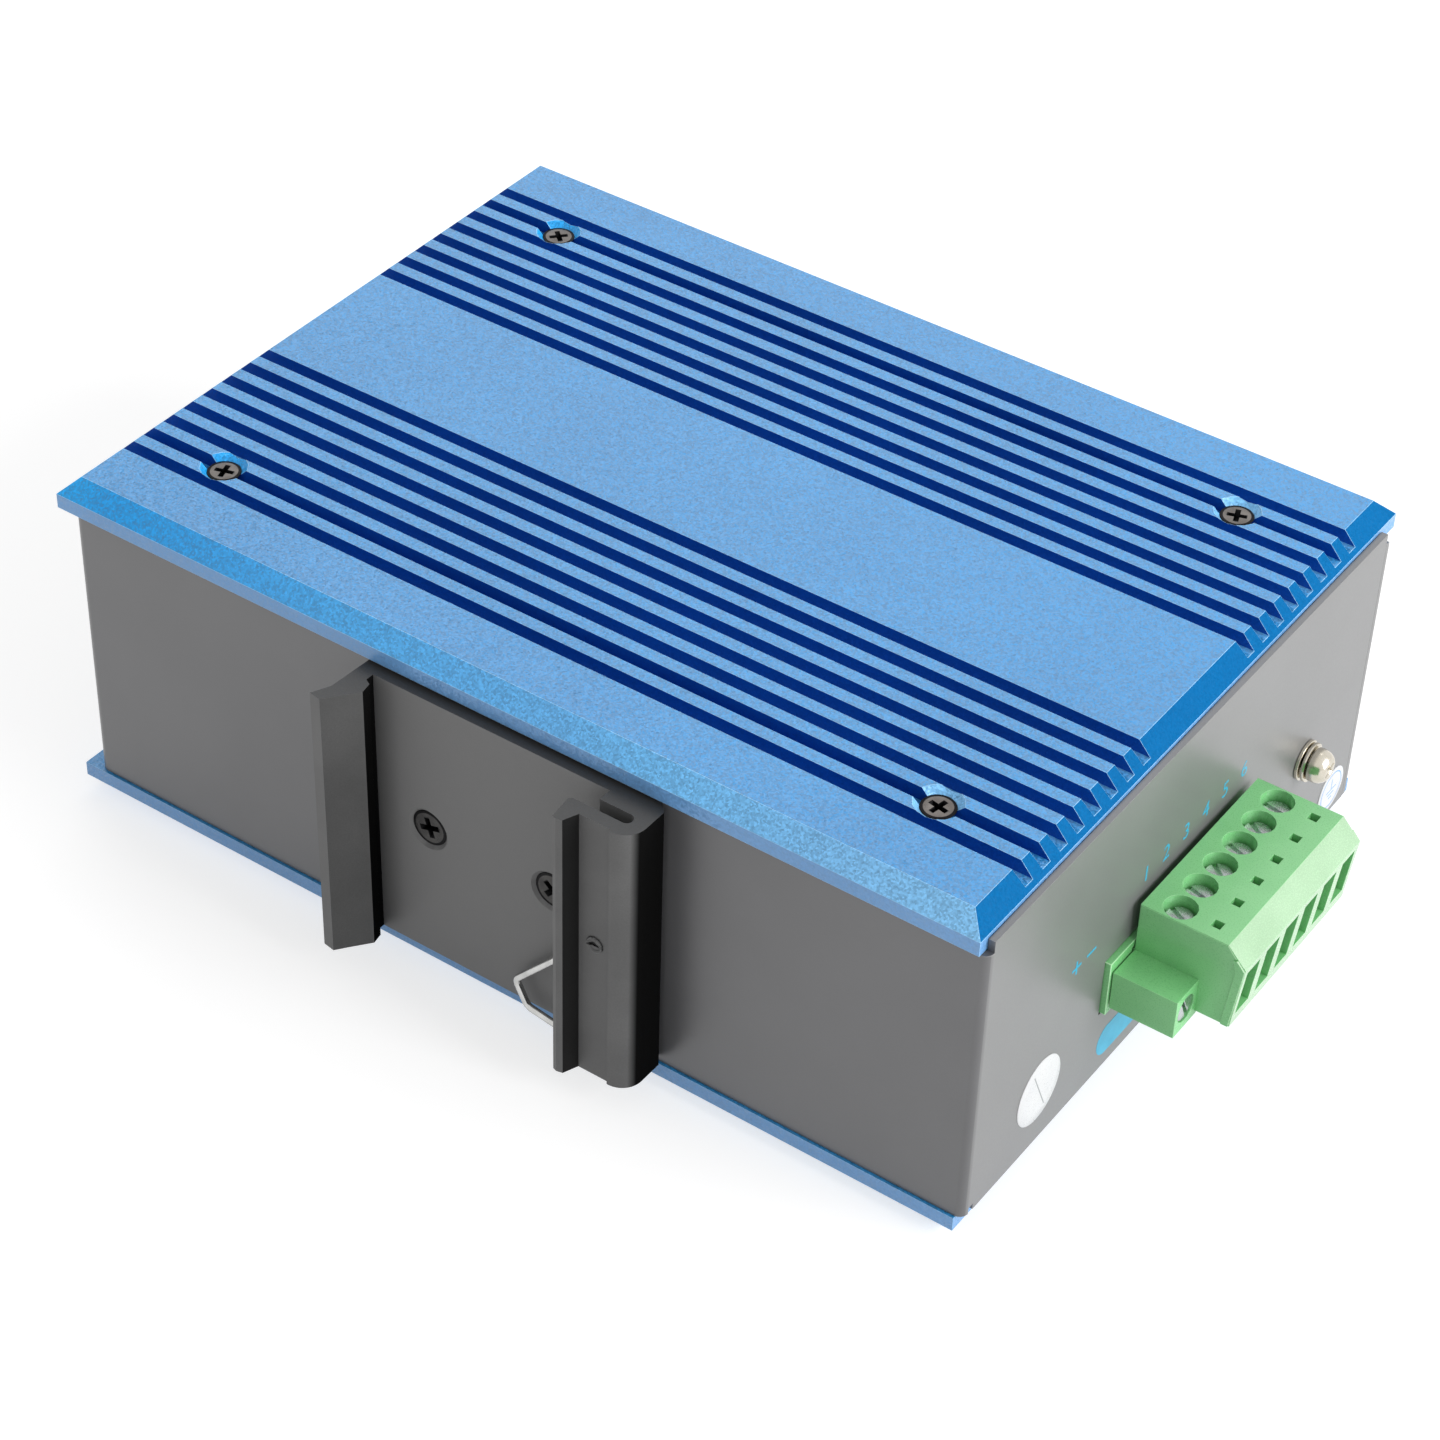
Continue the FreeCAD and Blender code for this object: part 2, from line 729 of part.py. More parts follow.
clip_screws = []
clip_nuts = []
clip_screw_drop = (clip_sink - clip_head) / 2 - 0.03 - taper_land
for side, name in ((-1, "left"), (1, "right")):
    screw = countersunk_screw("clip_screw_" + name, clip_head, clip_shank, clip_screw_length)
    across = clip_x + clip_screw_pitch / 2 * side
    clip_screws.append(place(screw, across, rear_outer - clip_plate + clip_screw_drop, middle_height, TO_REAR_Y))
    nut = clinch_nut("clip_nut_" + name, clip_nut_bore)
    clip_nuts.append(place(nut, across, rear_outer, middle_height, Rotation(Vector(1, 0, 0), -90)))
nodes.append(group("rail_clip_screws", clip_screws))
nodes.append(group("rail_clip_nuts", clip_nuts))

# Spring wire: bowed out of the hairpin slot towards the rail
wire_diameter = size("wire_diameter", 1.0)
wire_bend = size("wire_bend", 1.2)
wire_nose_x = size("wire_nose_x", 5.3)
wire_nose_z = size("wire_nose_z", 10.2)
wire_low_z = size("wire_low_z", 6.4)
wire_knee_z = size("wire_knee_z", 28.4)
wire_leg_top = size("wire_leg_top", 41.0)
wire_travel = size("wire_travel", 2.5)
wire_nose_out = size("wire_nose_out", 3.3)
wire_leg_x = slot_end - wire_travel - wire_diameter
wire_leg_out = slot_low + slot_width / 2


def rounded_path(spots, radius):
    """Straight runs joined by tangent arcs of one radius."""
    edges = []
    start = spots[0]
    for i in range(1, len(spots) - 1):
        corner = spots[i]
        back = (spots[i - 1] - corner).normalize()
        ahead = (spots[i + 1] - corner).normalize()
        half_angle = back.getAngle(ahead) / 2
        setback = radius / math.tan(half_angle)
        before = corner + back * setback
        after = corner + ahead * setback
        inward = (back + ahead).normalize()
        centre = corner + inward * (radius / math.sin(half_angle))
        crown = centre - inward * radius
        edges.append(Part.LineSegment(start, before).toShape())
        edges.append(Part.Arc(before, crown, after).toShape())
        start = after
    edges.append(Part.LineSegment(start, spots[-1]).toShape())
    return Part.Wire(edges)


def spring_wire():
    """Two legs in the hairpin slot, joined by a nose that leans towards the clip's plate."""
    route = [
        (wire_leg_x, wire_leg_out, wire_leg_top),
        (wire_leg_x, wire_leg_out, wire_knee_z),
        (wire_nose_x, wire_nose_out, wire_nose_z),
        (wire_nose_x + 1.9, wire_nose_out, wire_low_z),
        (wire_leg_x, wire_leg_out, wire_low_z),
        (wire_leg_x, wire_leg_out, wire_low_z + 5.0),
    ]
    spots = [Vector(number(clip_x + x), number(rear_outer - out), number(z)) for x, out, z in route]
    path = rounded_path(spots, number(wire_bend))
    rim = []
    for index in range(BORE_SIDES + 1):
        turn = 2 * math.pi * index / BORE_SIDES
        rim.append(spots[0] + Vector(math.cos(turn), math.sin(turn), 0) * (number(wire_diameter) / 2))
    item = doc.addObject("Part::Feature", "rail_spring")
    item.Label = "rail_spring"
    item.Shape = path.makePipeShell([Part.makePolygon(rim)], True, False)
    return item


nodes.append(spring_wire())

# Circuit board on four clinch standoffs
board_gap = size("board_gap", 2.0)
standoff_width = size("standoff_width", 5.0)
standoff_inset = size("standoff_inset", 7.0)
board_hole = size("board_hole", 3.2)
board_screw_head = size("board_screw_head", 5.4)
board_screw_rise = size("board_screw_rise", 1.8)
board_screw_shank = size("board_screw_shank", 2.4)
board_low = board_top - board_thickness
board_left = plain_end_inner + board_gap
board_right = port_end_inner - board_gap
board_rear = rear_inner + board_gap
board_front = panel_inner - board_gap
chassis_floor = chassis_low + sheet_wall
standoff_spots = []
for x in (board_left + standoff_inset, board_right - standoff_inset):
    for y in (board_rear + standoff_inset / 2, board_front - standoff_inset / 2):
        standoff_spots.append((x, y))

# Header pins pass the board: their places come from the terminal
pin_width = size("pin_width", 1.0)
pin_hole = size("pin_hole", 1.5)
pin_foot = size("pin_foot", 2.2)
pin_back = size("pin_back", 2.4)
pole_places = []
for pole in range(pole_count):
    pole_places.append(terminal_y + pole_pitch * (pole - (pole_count - 1) / 2.0))
pin_foot_x = header_rear - pin_back


def circuit_board():
    body = new_body("circuit_board")
    outline = Drawing(body, "circuit_board_outline", "XY_Plane", board_low)
    outline.rectangle(board_left, board_right, board_rear, board_front)
    for x, y in standoff_spots:
        outline.polygon(x, y, board_hole, BORE_SIDES)
    for y in pole_places:
        outline.rectangle(pin_foot_x - pin_hole / 2, pin_foot_x + pin_hole / 2,
                          y - pin_hole / 2, y + pin_hole / 2)
    pad(body, "circuit_board_laminate", outline.done(), board_thickness)
    return body


nodes.append(circuit_board())

standoffs = []
board_screws = []
for index, (x, y) in enumerate(standoff_spots):
    tag = index + 1
    standoffs.append(prism("standoff_%d" % tag, 6, standoff_width, board_low - chassis_floor,
                           x, y, chassis_floor))
    head = prism("board_screw_head_%d" % tag, HEAD_SIDES, board_screw_head, board_screw_rise,
                 x, y, board_top)
    stem = prism("board_screw_stem_%d" % tag, BORE_SIDES, board_screw_shank, board_thickness,
                 x, y, board_low)
    board_screws.append(fuse("board_screw_%d" % tag, [head, stem]))
nodes.append(group("board_standoffs", standoffs))
nodes.append(group("board_screws", board_screws))

# Socket block: folded shield, moulded insert and its contact wires
port_width = size("port_width", 11.8)
port_height = size("port_height", 8.2)
port_depth = size("port_depth", 15.0)
port_row_gap = size("port_row_gap", 4.4)
latch_width = size("latch_width", 6.0)
latch_height = size("latch_height", 1.5)
insert_gap = size("insert_gap", 0.05)
block_middle = board_top + jack_height / 2


def port_rows():
    """Outer edge, inner edge and latch edge of the lower and the upper row."""
    low_inner = block_middle - port_row_gap / 2
    high_inner = block_middle + port_row_gap / 2
    return [
        ("low", low_inner - port_height, low_inner, low_inner + latch_height),
        ("high", high_inner, high_inner + port_height, high_inner - latch_height),
    ]


def port_outline(drawing, x, low, high, latch):
    """A socket mouth: a rectangle with the latch slot towards the middle of the block."""
    half = port_width / 2
    slot = latch_width / 2
    if number(latch) > number(high):
        drawing.outline([
            (x - half, low), (x + half, low), (x + half, high), (x + slot, high),
            (x + slot, latch), (x - slot, latch), (x - slot, high), (x - half, high),
        ])
        return
    drawing.outline([
        (x - half, low), (x - slot, low), (x - slot, latch), (x + slot, latch),
        (x + slot, low), (x + half, low), (x + half, high), (x - half, high),
    ])


def jack_columns_x():
    middle = (jack_columns - 1) / 2.0
    return [jack_x + jack_pitch * (column - middle) for column in range(jack_columns)]


def jack_shield():
    body = new_body("jack_shield")
    outer = Drawing(body, "jack_shield_outline", "XZ_Plane", -jack_front)
    outer.rectangle(jack_x - jack_half, jack_x + jack_half, board_top, jack_high)
    pad(body, "jack_shield_box", outer.done(), jack_depth)
    inner = Drawing(body, "jack_shield_inside", "XZ_Plane", -jack_front + shield_wall)
    inner.rectangle(jack_x - jack_half + shield_wall, jack_x + jack_half - shield_wall,
                    board_top - 1.0, jack_high - shield_wall)
    hollow = pocket(body, "jack_shield_hollow", inner.done(), jack_depth - shield_wall * 2)
    hollow.Reversed = True
    mouths = Drawing(body, "jack_shield_mouths", "XZ_Plane", -jack_front)
    for x in jack_columns_x():
        for name, low, high, latch in port_rows():
            port_outline(mouths, x, low, high, latch)
    front = pocket(body, "jack_shield_windows", mouths.done(), shield_wall * 2)
    front.Reversed = True
    return body


def jack_insert():
    body = new_body("jack_insert")
    outer = Drawing(body, "jack_insert_outline", "XZ_Plane", -jack_front + shield_wall)
    side = jack_half - shield_wall - insert_gap
    outer.rectangle(jack_x - side, jack_x + side, board_top, jack_high - shield_wall - insert_gap)
    pad(body, "jack_insert_block", outer.done(), jack_depth - shield_wall * 2 - insert_gap)
    mouths = Drawing(body, "jack_insert_mouths", "XZ_Plane", -jack_front + shield_wall)
    for x in jack_columns_x():
        for name, low, high, latch in port_rows():
            port_outline(mouths, x, low, high, latch)
    cavity = pocket(body, "jack_insert_cavities", mouths.done(), port_depth)
    cavity.Reversed = True
    return body


nodes.append(jack_shield())
nodes.append(jack_insert())

contact_width = size("contact_width", 0.35)
contact_pitch = size("contact_pitch", 1.02)
contact_length = size("contact_length", 8.0)
contact_count = 8
contact_lift = size("contact_lift", 1.2)
contact_wires = []
contact_back = jack_front - shield_wall - port_depth + 0.3
for column, x in enumerate(jack_columns_x()):
    for name, low, high, latch in port_rows():
        upper = name == "high"
        floor = high - contact_lift - contact_width if upper else low + contact_lift
        tilt = Rotation(Vector(1, 0, 0), -8 if upper else 8)
        for index in range(contact_count):
            wire = doc.addObject("Part::Box", "contact_%s_%d_%d" % (name, column + 1, index + 1))
            for prop, amount in (("Length", contact_width), ("Width", contact_length), ("Height", contact_width)):
                setattr(wire, prop, number(amount))
                bind(wire, prop, amount)
            across = x + contact_pitch * (index - (contact_count - 1) / 2.0) - contact_width / 2
            contact_wires.append(place(wire, across, contact_back, floor, tilt))
nodes.append(group("jack_contacts", contact_wires))

# Lamps on the board and the light pipes that lead to the panel
lamp_size = size("lamp_size", 2.0)
lamp_height = size("lamp_height", 1.2)
pipe_width = size("pipe_width", 2.0)
pipe_gap = size("pipe_gap", 0.1)
pipe_proud = size("pipe_proud", 0.4)
pipe_first_back = size("pipe_first_back", 5.0)
pipe_row_back = size("pipe_row_back", 5.0)
lamps = []
pipes = []
for row in range(lamp_rows):
    for column in range(lamp_columns):
        tag = "%d_%d" % (row + 1, column + 1)
        x = lamp_x + lamp_pitch * column
        y = panel_inner - pipe_first_back - pipe_row_back * row
        z = lamp_z + lamp_row_rise * row
        half = lamp_size / 2
        lamps.append(block("lamp_" + tag, x - half, x + half, y - half, y + half,
                           board_top, board_top + lamp_height))
        half = pipe_width / 2
        run = block("pipe_run_" + tag, x - half, x + half, y - half, panel_outer + pipe_proud,
                    z - half, z + half)
        foot = board_top + lamp_height + pipe_gap
        drop = block("pipe_drop_" + tag, x - half, x + half, y - half, y + half, foot, z + half)
        pipes.append(fuse("pipe_" + tag, [run, drop]))
nodes.append(group("status_lamps", lamps))
nodes.append(group("light_pipes", pipes))

# Power header on the board's edge
header_wall = size("header_wall", 1.1)
header_floor = size("header_floor", 2.0)
plug_gap = size("plug_gap", 0.3)
insert_width = size("insert_width", 3.9)
insert_length = size("insert_length", 6.0)
insert_bore = size("insert_bore", 2.7)
cavity_half = plug_half + plug_gap
cavity_low = header_low + header_wall
cavity_high = header_high - header_wall


def power_header():
    body = new_body("power_header")
    outline = Drawing(body, "power_header_outline", "YZ_Plane", header_rear)
    outline.rectangle(-header_half_width, header_half_width, header_low, header_high)
    pad(body, "power_header_block", outline.done(), header_depth)
    foot = Drawing(body, "power_header_foot_plan", "XY_Plane", board_top)
    foot.rectangle(header_rear, port_end_inner - board_gap, -header_half_width, header_half_width)
    pad(body, "power_header_foot", foot.done(), header_low - board_top)
    mouth = Drawing(body, "power_header_mouth", "YZ_Plane", header_front)
    mouth.rectangle(-cavity_half, cavity_half, cavity_low, cavity_high)
    pocket(body, "power_header_cavity", mouth.done(), header_depth - header_floor)
    pins = Drawing(body, "power_header_pin_holes", "YZ_Plane", header_front)
    for y in pole_places:
        local = y - terminal_y
        pins.rectangle(local - pin_width / 2, local + pin_width / 2,
                       flange_axis_z - pin_width / 2, flange_axis_z + pin_width / 2)
    pocket(body, "power_header_pin_row", pins.done(), header_depth + 1.0)
    inserts = Drawing(body, "power_header_insert_holes", "YZ_Plane", header_front)
    for side in (-1, 1):
        inserts.polygon(flange_axis_y * side, flange_axis_z, insert_width, BORE_SIDES)
    pocket(body, "power_header_insert_bores", inserts.done(), insert_length + 1.5)
    return body


nodes.append(place(power_header(), y=terminal_y))

pin_reach = size("pin_reach", 8.0)
pins = []
for index, y in enumerate(pole_places):
    body = new_body("header_pin_%d" % (index + 1))
    side_view = Drawing(body, "header_pin_side_%d" % (index + 1), "XZ_Plane", pin_width / 2)
    half = pin_width / 2
    side_view.outline([
        (pin_foot_x - half, board_low - pin_foot),
        (pin_foot_x + half, board_low - pin_foot),
        (pin_foot_x + half, flange_axis_z - half),
        (header_rear + header_floor + pin_reach, flange_axis_z - half),
        (header_rear + header_floor + pin_reach, flange_axis_z + half),
        (pin_foot_x - half, flange_axis_z + half),
    ])
    bar = pad(body, "header_pin_bar_%d" % (index + 1), side_view.done(), pin_width)
    bar.Reversed = True
    pins.append(place(body, y=y))
nodes.append(group("header_pins", pins))

inserts = []
for side, name in ((-1, "rear"), (1, "front")):
    sleeve = prism("header_sleeve_" + name, BORE_SIDES, insert_width, insert_length)
    bore = prism("header_sleeve_bore_" + name, BORE_SIDES, insert_bore, insert_length * 2, z=-insert_length / 2)
    ring = cut("header_insert_" + name, sleeve, [bore])
    inserts.append(place(ring, header_front - insert_length, terminal_y + flange_axis_y * side,
                         flange_axis_z, TO_FRONT_X))
nodes.append(group("header_inserts", inserts))

# Terminal plug: one moulded body with its clamps, cages and contacts
plug_low = size("plug_low", 18.2)
plug_high = size("plug_high", 31.3)
plug_top_depth = size("plug_top_depth", 12.6)
plug_band_depth = size("plug_band_depth", 15.4)
plug_foot_depth = size("plug_foot_depth", 14.3)
plug_band_z = size("plug_band_z", 28.4)
plug_rear_gap = size("plug_rear_gap", 0.2)
nose_length = size("nose_length", 11.5)
ear_depth = size("ear_depth", 9.3)
ear_low = size("ear_low", 17.4)
ear_high = size("ear_high", 23.5)
ear_width = size("ear_width", 5.36)
ear_root = size("ear_root", 0.6)
screw_axis_in = size("screw_axis_in", 4.3)
clamp_hole = size("clamp_hole", 4.6)
clamp_throat = size("clamp_throat", 2.9)
clamp_ledge = size("clamp_ledge", 2.4)
cage_room_x = size("cage_room_x", 5.6)
cage_room_y = size("cage_room_y", 3.9)
cage_room_low = size("cage_room_low", 19.0)
cage_room_high = size("cage_room_high", 28.2)
entry_width = size("entry_width", 3.4)
entry_low = size("entry_low", 20.0)
entry_high = size("entry_high", 27.4)
test_hole = size("test_hole", 1.4)
test_hole_in = size("test_hole_in", 9.6)
strip_room = size("strip_room", 2.6)
plug_rear = header_front + plug_rear_gap
clamp_x = plug_rear + screw_axis_in
nose_tip = plug_rear - nose_length
nose_low = cavity_low + plug_gap
nose_high = cavity_high - plug_gap
flange_hole = size("flange_hole", 4.1)
flange_throat = size("flange_throat", 2.8)
flange_sink = size("flange_sink", 3.2)


def terminal_plug():
    """Side profile drawn across the poles, then one pole's cavities repeated along the row."""
    body = new_body("terminal_plug")
    side_view = Drawing(body, "terminal_plug_profile", "XZ_Plane", -plug_half)
    side_view.outline([
        (plug_rear, plug_low),
        (plug_rear + plug_foot_depth, plug_low),
        (plug_rear + plug_band_depth, plug_band_z),
        (plug_rear + plug_top_depth, plug_high),
        (plug_rear, plug_high),
        (plug_rear, nose_high),
        (nose_tip, nose_high),
        (nose_tip, nose_low),
        (plug_rear, nose_low),
    ])
    pad(body, "terminal_plug_block", side_view.done(), plug_half * 2)
    ears = Drawing(body, "terminal_plug_ears", "YZ_Plane", plug_rear)
    ears.rectangle(-plug_half - ear_width, -plug_half + ear_root, ear_low, ear_high)
    ears.rectangle(plug_half - ear_root, plug_half + ear_width, ear_low, ear_high)
    pad(body, "terminal_plug_flanges", ears.done(), ear_depth)
    first = -plug_half + pole_pitch / 2

    top = Drawing(body, "terminal_plug_screw_mouth", "XY_Plane", plug_high)
    top.polygon(clamp_x, first, clamp_hole, WELL_SIDES)
    mouth = pocket(body, "terminal_plug_screw_well", top.done(), clamp_ledge)
    repeat(body, "terminal_plug_screw_wells", mouth, "Y_Axis", pole_pitch, pole_count)

    throat = Drawing(body, "terminal_plug_throat_plan", "XY_Plane", plug_high - clamp_ledge)
    throat.polygon(clamp_x, first, clamp_throat, BORE_SIDES)
    narrow = pocket(body, "terminal_plug_throat", throat.done(), plug_high - clamp_ledge - cage_room_high)
    repeat(body, "terminal_plug_throats", narrow, "Y_Axis", pole_pitch, pole_count)

    room = Drawing(body, "terminal_plug_cage_plan", "XY_Plane", cage_room_high)
    room.rectangle(clamp_x - cage_room_x / 2, clamp_x + cage_room_x / 2,
                   first - cage_room_y / 2, first + cage_room_y / 2)
    well = pocket(body, "terminal_plug_cage_room", room.done(), cage_room_high - cage_room_low)
    repeat(body, "terminal_plug_cage_rooms", well, "Y_Axis", pole_pitch, pole_count)

    entry = Drawing(body, "terminal_plug_entry_face", "YZ_Plane", plug_rear + plug_band_depth + 1.0)
    entry.rectangle(first - entry_width / 2, first + entry_width / 2, entry_low, entry_high)
    funnel = pocket(body, "terminal_plug_entry", entry.done(),
                    plug_band_depth + 1.0 - screw_axis_in - cage_room_x / 4)
    repeat(body, "terminal_plug_entries", funnel, "Y_Axis", pole_pitch, pole_count)

    probe = Drawing(body, "terminal_plug_test_plan", "XY_Plane", plug_high)
    probe.rectangle(plug_rear + test_hole_in - test_hole / 2, plug_rear + test_hole_in + test_hole / 2,
                    first - test_hole / 2, first + test_hole / 2)
    shaft = pocket(body, "terminal_plug_test_hole", probe.done(), plug_high - entry_high + 0.5)
    repeat(body, "terminal_plug_test_holes", shaft, "Y_Axis", pole_pitch, pole_count)

    strip = Drawing(body, "terminal_plug_strip_face", "YZ_Plane", clamp_x)
    strip.rectangle(first - strip_room / 2, first + strip_room / 2,
                    flange_axis_z - pin_width / 2 - plug_gap, nose_high - 0.3)
    channel = pocket(body, "terminal_plug_strip_room", strip.done(), screw_axis_in + nose_length + 1.0)
    repeat(body, "terminal_plug_strip_rooms", channel, "Y_Axis", pole_pitch, pole_count)

    wells = Drawing(body, "terminal_plug_flange_mouths", "YZ_Plane", plug_rear + ear_depth)
    throats = Drawing(body, "terminal_plug_flange_throats", "YZ_Plane", plug_rear + ear_depth)
    for side in (-1, 1):
        wells.polygon(flange_axis_y * side, flange_axis_z, flange_hole, WELL_SIDES)
        throats.polygon(flange_axis_y * side, flange_axis_z, flange_throat, BORE_SIDES)
    pocket(body, "terminal_plug_flange_wells", wells.done(), flange_sink)
    pocket(body, "terminal_plug_flange_holes", throats.done(), ear_depth + 1.0)
    return body


nodes.append(place(terminal_plug(), y=terminal_y))

# Clamp of each pole: a slotted captive screw, the cage it lifts and the contact strip
clamp_head = size("clamp_head", 3.7)
clamp_head_height = size("clamp_head_height", 1.5)
clamp_shank = size("clamp_shank", 2.2)
clamp_head_gap = size("clamp_head_gap", 0.05)
clamp_slot = size("clamp_slot", 0.55)
clamp_slot_depth = size("clamp_slot_depth", 0.8)
cage_width = size("cage_width", 3.5)
cage_depth = size("cage_depth", 5.0)
cage_height = size("cage_height", 6.2)
cage_wall = size("cage_wall", 0.5)
cage_top_wall = size("cage_top_wall", 1.0)
cage_floor_wall = size("cage_floor_wall", 0.8)
cage_rest = size("cage_rest", 19.2)
cage_bore_gap = size("cage_bore_gap", 0.35)
strip_width = size("strip_width", 2.1)
strip_thickness = size("strip_thickness", 0.6)
strip_level = size("strip_level", 22.2)
strip_gap = size("strip_gap", 0.05)
clamp_seat = plug_high - clamp_ledge + clamp_head_gap
strip_top = strip_level + strip_thickness

strips = []
for index, y in enumerate(pole_places):
    tag = index + 1
    head = prism("clamp_head_%d" % tag, HEAD_SIDES, clamp_head, clamp_head_height)
    reach = clamp_seat - strip_top - strip_gap
    stem = rod("clamp_stem_%d" % tag, clamp_shank, reach, -reach)
    blank = fuse("clamp_blank_%d" % tag, [head, stem])
    slot = block("clamp_slot_%d" % tag, -clamp_head, clamp_head, -clamp_slot / 2, clamp_slot / 2,
                 clamp_head_height - clamp_slot_depth, clamp_head_height * 2)
    nodes.append(place(cut("clamp_screw_%d" % tag, blank, [slot]), clamp_x, y, clamp_seat))

for index, y in enumerate(pole_places):
    tag = index + 1
    cage = new_body("clamp_cage_%d" % tag)
    ring = Drawing(cage, "clamp_cage_section_%d" % tag, "YZ_Plane")
    ring.rectangle(-cage_width / 2, cage_width / 2, 0, cage_height)
    ring.rectangle(-cage_width / 2 + cage_wall, cage_width / 2 - cage_wall,
                   cage_floor_wall, cage_height - cage_top_wall)
    pad(cage, "clamp_cage_ring_%d" % tag, ring.done(), cage_depth, both_ways=True)
    bore = Drawing(cage, "clamp_cage_bore_plan_%d" % tag, "XY_Plane", cage_height)
    bore.polygon(Size(0, "0"), Size(0, "0"), clamp_shank + cage_bore_gap * 2, BORE_SIDES)
    pocket(cage, "clamp_cage_bore_%d" % tag, bore.done(), cage_top_wall + 0.2)
    place(cage, clamp_x, y, cage_rest)
    nodes.append(cage)

    strip = new_body("contact_strip_%d" % tag)
    side_view = Drawing(strip, "contact_strip_side_%d" % tag, "XZ_Plane", strip_width / 2)
    socket_low = flange_axis_z + pin_width / 2 + strip_gap
    side_view.outline([
        (nose_tip + 0.8, socket_low),
        (plug_rear - 3.6, socket_low),
        (plug_rear - 1.6, strip_level),
        (clamp_x + cage_depth / 2, strip_level),
        (clamp_x + cage_depth / 2, strip_top),
        (plug_rear - 1.9, strip_top),
        (plug_rear - 3.9, socket_low + strip_thickness),
        (nose_tip + 0.8, socket_low + strip_thickness),
    ])
    blade = pad(strip, "contact_strip_blade_%d" % tag, side_view.done(), strip_width)
    blade.Reversed = True
    strips.append(place(strip, y=y))
nodes.append(group("contact_strips", strips))

# Flange screws that hold the plug in its header
flange_head = size("flange_head", 3.8)
flange_head_height = size("flange_head_height", 1.8)
flange_shank = size("flange_shank", 2.4)
flange_slot = size("flange_slot", 0.6)
flange_screws = []
for side, name in ((-1, "rear"), (1, "front")):
    head = prism("flange_head_" + name, HEAD_SIDES, flange_head, flange_head_height)
    reach = ear_depth - flange_sink + plug_rear_gap + insert_length - 1.0
    stem = prism("flange_stem_" + name, BORE_SIDES, flange_shank, reach, 0, 0, -reach)
    blank = fuse("flange_blank_" + name, [head, stem])
    slot = block("flange_slot_" + name, -flange_slot / 2, flange_slot / 2, -flange_head, flange_head,
                 flange_head_height - flange_slot * 1.5, flange_head_height * 2)
    screw = cut("flange_screw_" + name, blank, [slot])
    flange_screws.append(place(screw, plug_rear + ear_depth - flange_sink, terminal_y + flange_axis_y * side,
                               flange_axis_z, TO_FRONT_X))
nodes.append(group("flange_screws", flange_screws))

# Earth screw with its washers and its clinch nut
earth_head = size("earth_head", 5.0)
earth_head_height = size("earth_head_height", 2.5)
earth_shank = size("earth_shank", 2.9)
earth_length = size("earth_length", 6.0)
washer_width = size("washer_width", 6.0)
washer_thickness = size("washer_thickness", 0.6)
spring_washer_width = size("spring_washer_width", 5.8)
spring_washer_thickness = size("spring_washer_thickness", 0.9)
washer_bore = size("washer_bore", 3.3)


def washer(label, width, thickness):
    disc = prism(label + "_disc", WELL_SIDES, width, thickness)
    hole = prism(label + "_hole", BORE_SIDES, washer_bore, thickness * 3, 0, 0, -thickness)
    return disc, hole


disc, hole = washer("earth_flat_washer", washer_width, washer_thickness)
flat = cut("earth_flat_washer", disc, [hole])
nodes.append(place(flat, port_end_outer, earth_y, earth_z, TO_FRONT_X))

disc, hole = washer("earth_spring_washer", spring_washer_width, spring_washer_thickness)
slit = block("earth_spring_washer_slit", Size(0, "0"), spring_washer_width, -washer_thickness / 2,
             washer_thickness / 2, -spring_washer_thickness, spring_washer_thickness * 2)
split = cut("earth_spring_washer", disc, [hole, slit])
nodes.append(place(split, port_end_outer + washer_thickness, earth_y, earth_z, TO_FRONT_X))

rim = prism("earth_head_rim", WELL_SIDES, earth_head, earth_head_height * 0.5)
crown = taper("earth_head_crown", WELL_SIDES, earth_head, earth_head * 0.72, earth_head_height * 0.5,
              earth_head_height)
stem = prism("earth_stem", BORE_SIDES, earth_shank, earth_length, 0, 0, -earth_length)
earth = cross("earth_screw", fuse("earth_blank", [rim, crown, stem]), earth_head * 0.26, earth_head_height)
nodes.append(place(earth, port_end_outer + washer_thickness + spring_washer_thickness, earth_y, earth_z,
                   TO_FRONT_X))
nodes.append(place(clinch_nut("earth_clinch_nut", clip_nut_bore), port_end_outer, earth_y, earth_z,
                   Rotation(Vector(0, 1, 0), -90)))

# Round labels stuck on the end wall
label_film = size("label_film", 0.12)
check_label_width = size("check_label_width", 10.3)
check_label_y = size("check_label_y", -35.5)
check_label_z = size("check_label_z", 14.1)
earth_label_width = size("earth_label_width", 7.4)
earth_label_y = size("earth_label_y", 43.6)
earth_label_z = size("earth_label_z", 9.3)
nodes.append(prism("check_label", LABEL_SIDES, check_label_width, label_film, port_end_outer, check_label_y,
                   check_label_z, TO_FRONT_X))
nodes.append(prism("earth_label", LABEL_SIDES, earth_label_width, label_film, port_end_outer, earth_label_y,
                   earth_label_z, TO_FRONT_X))

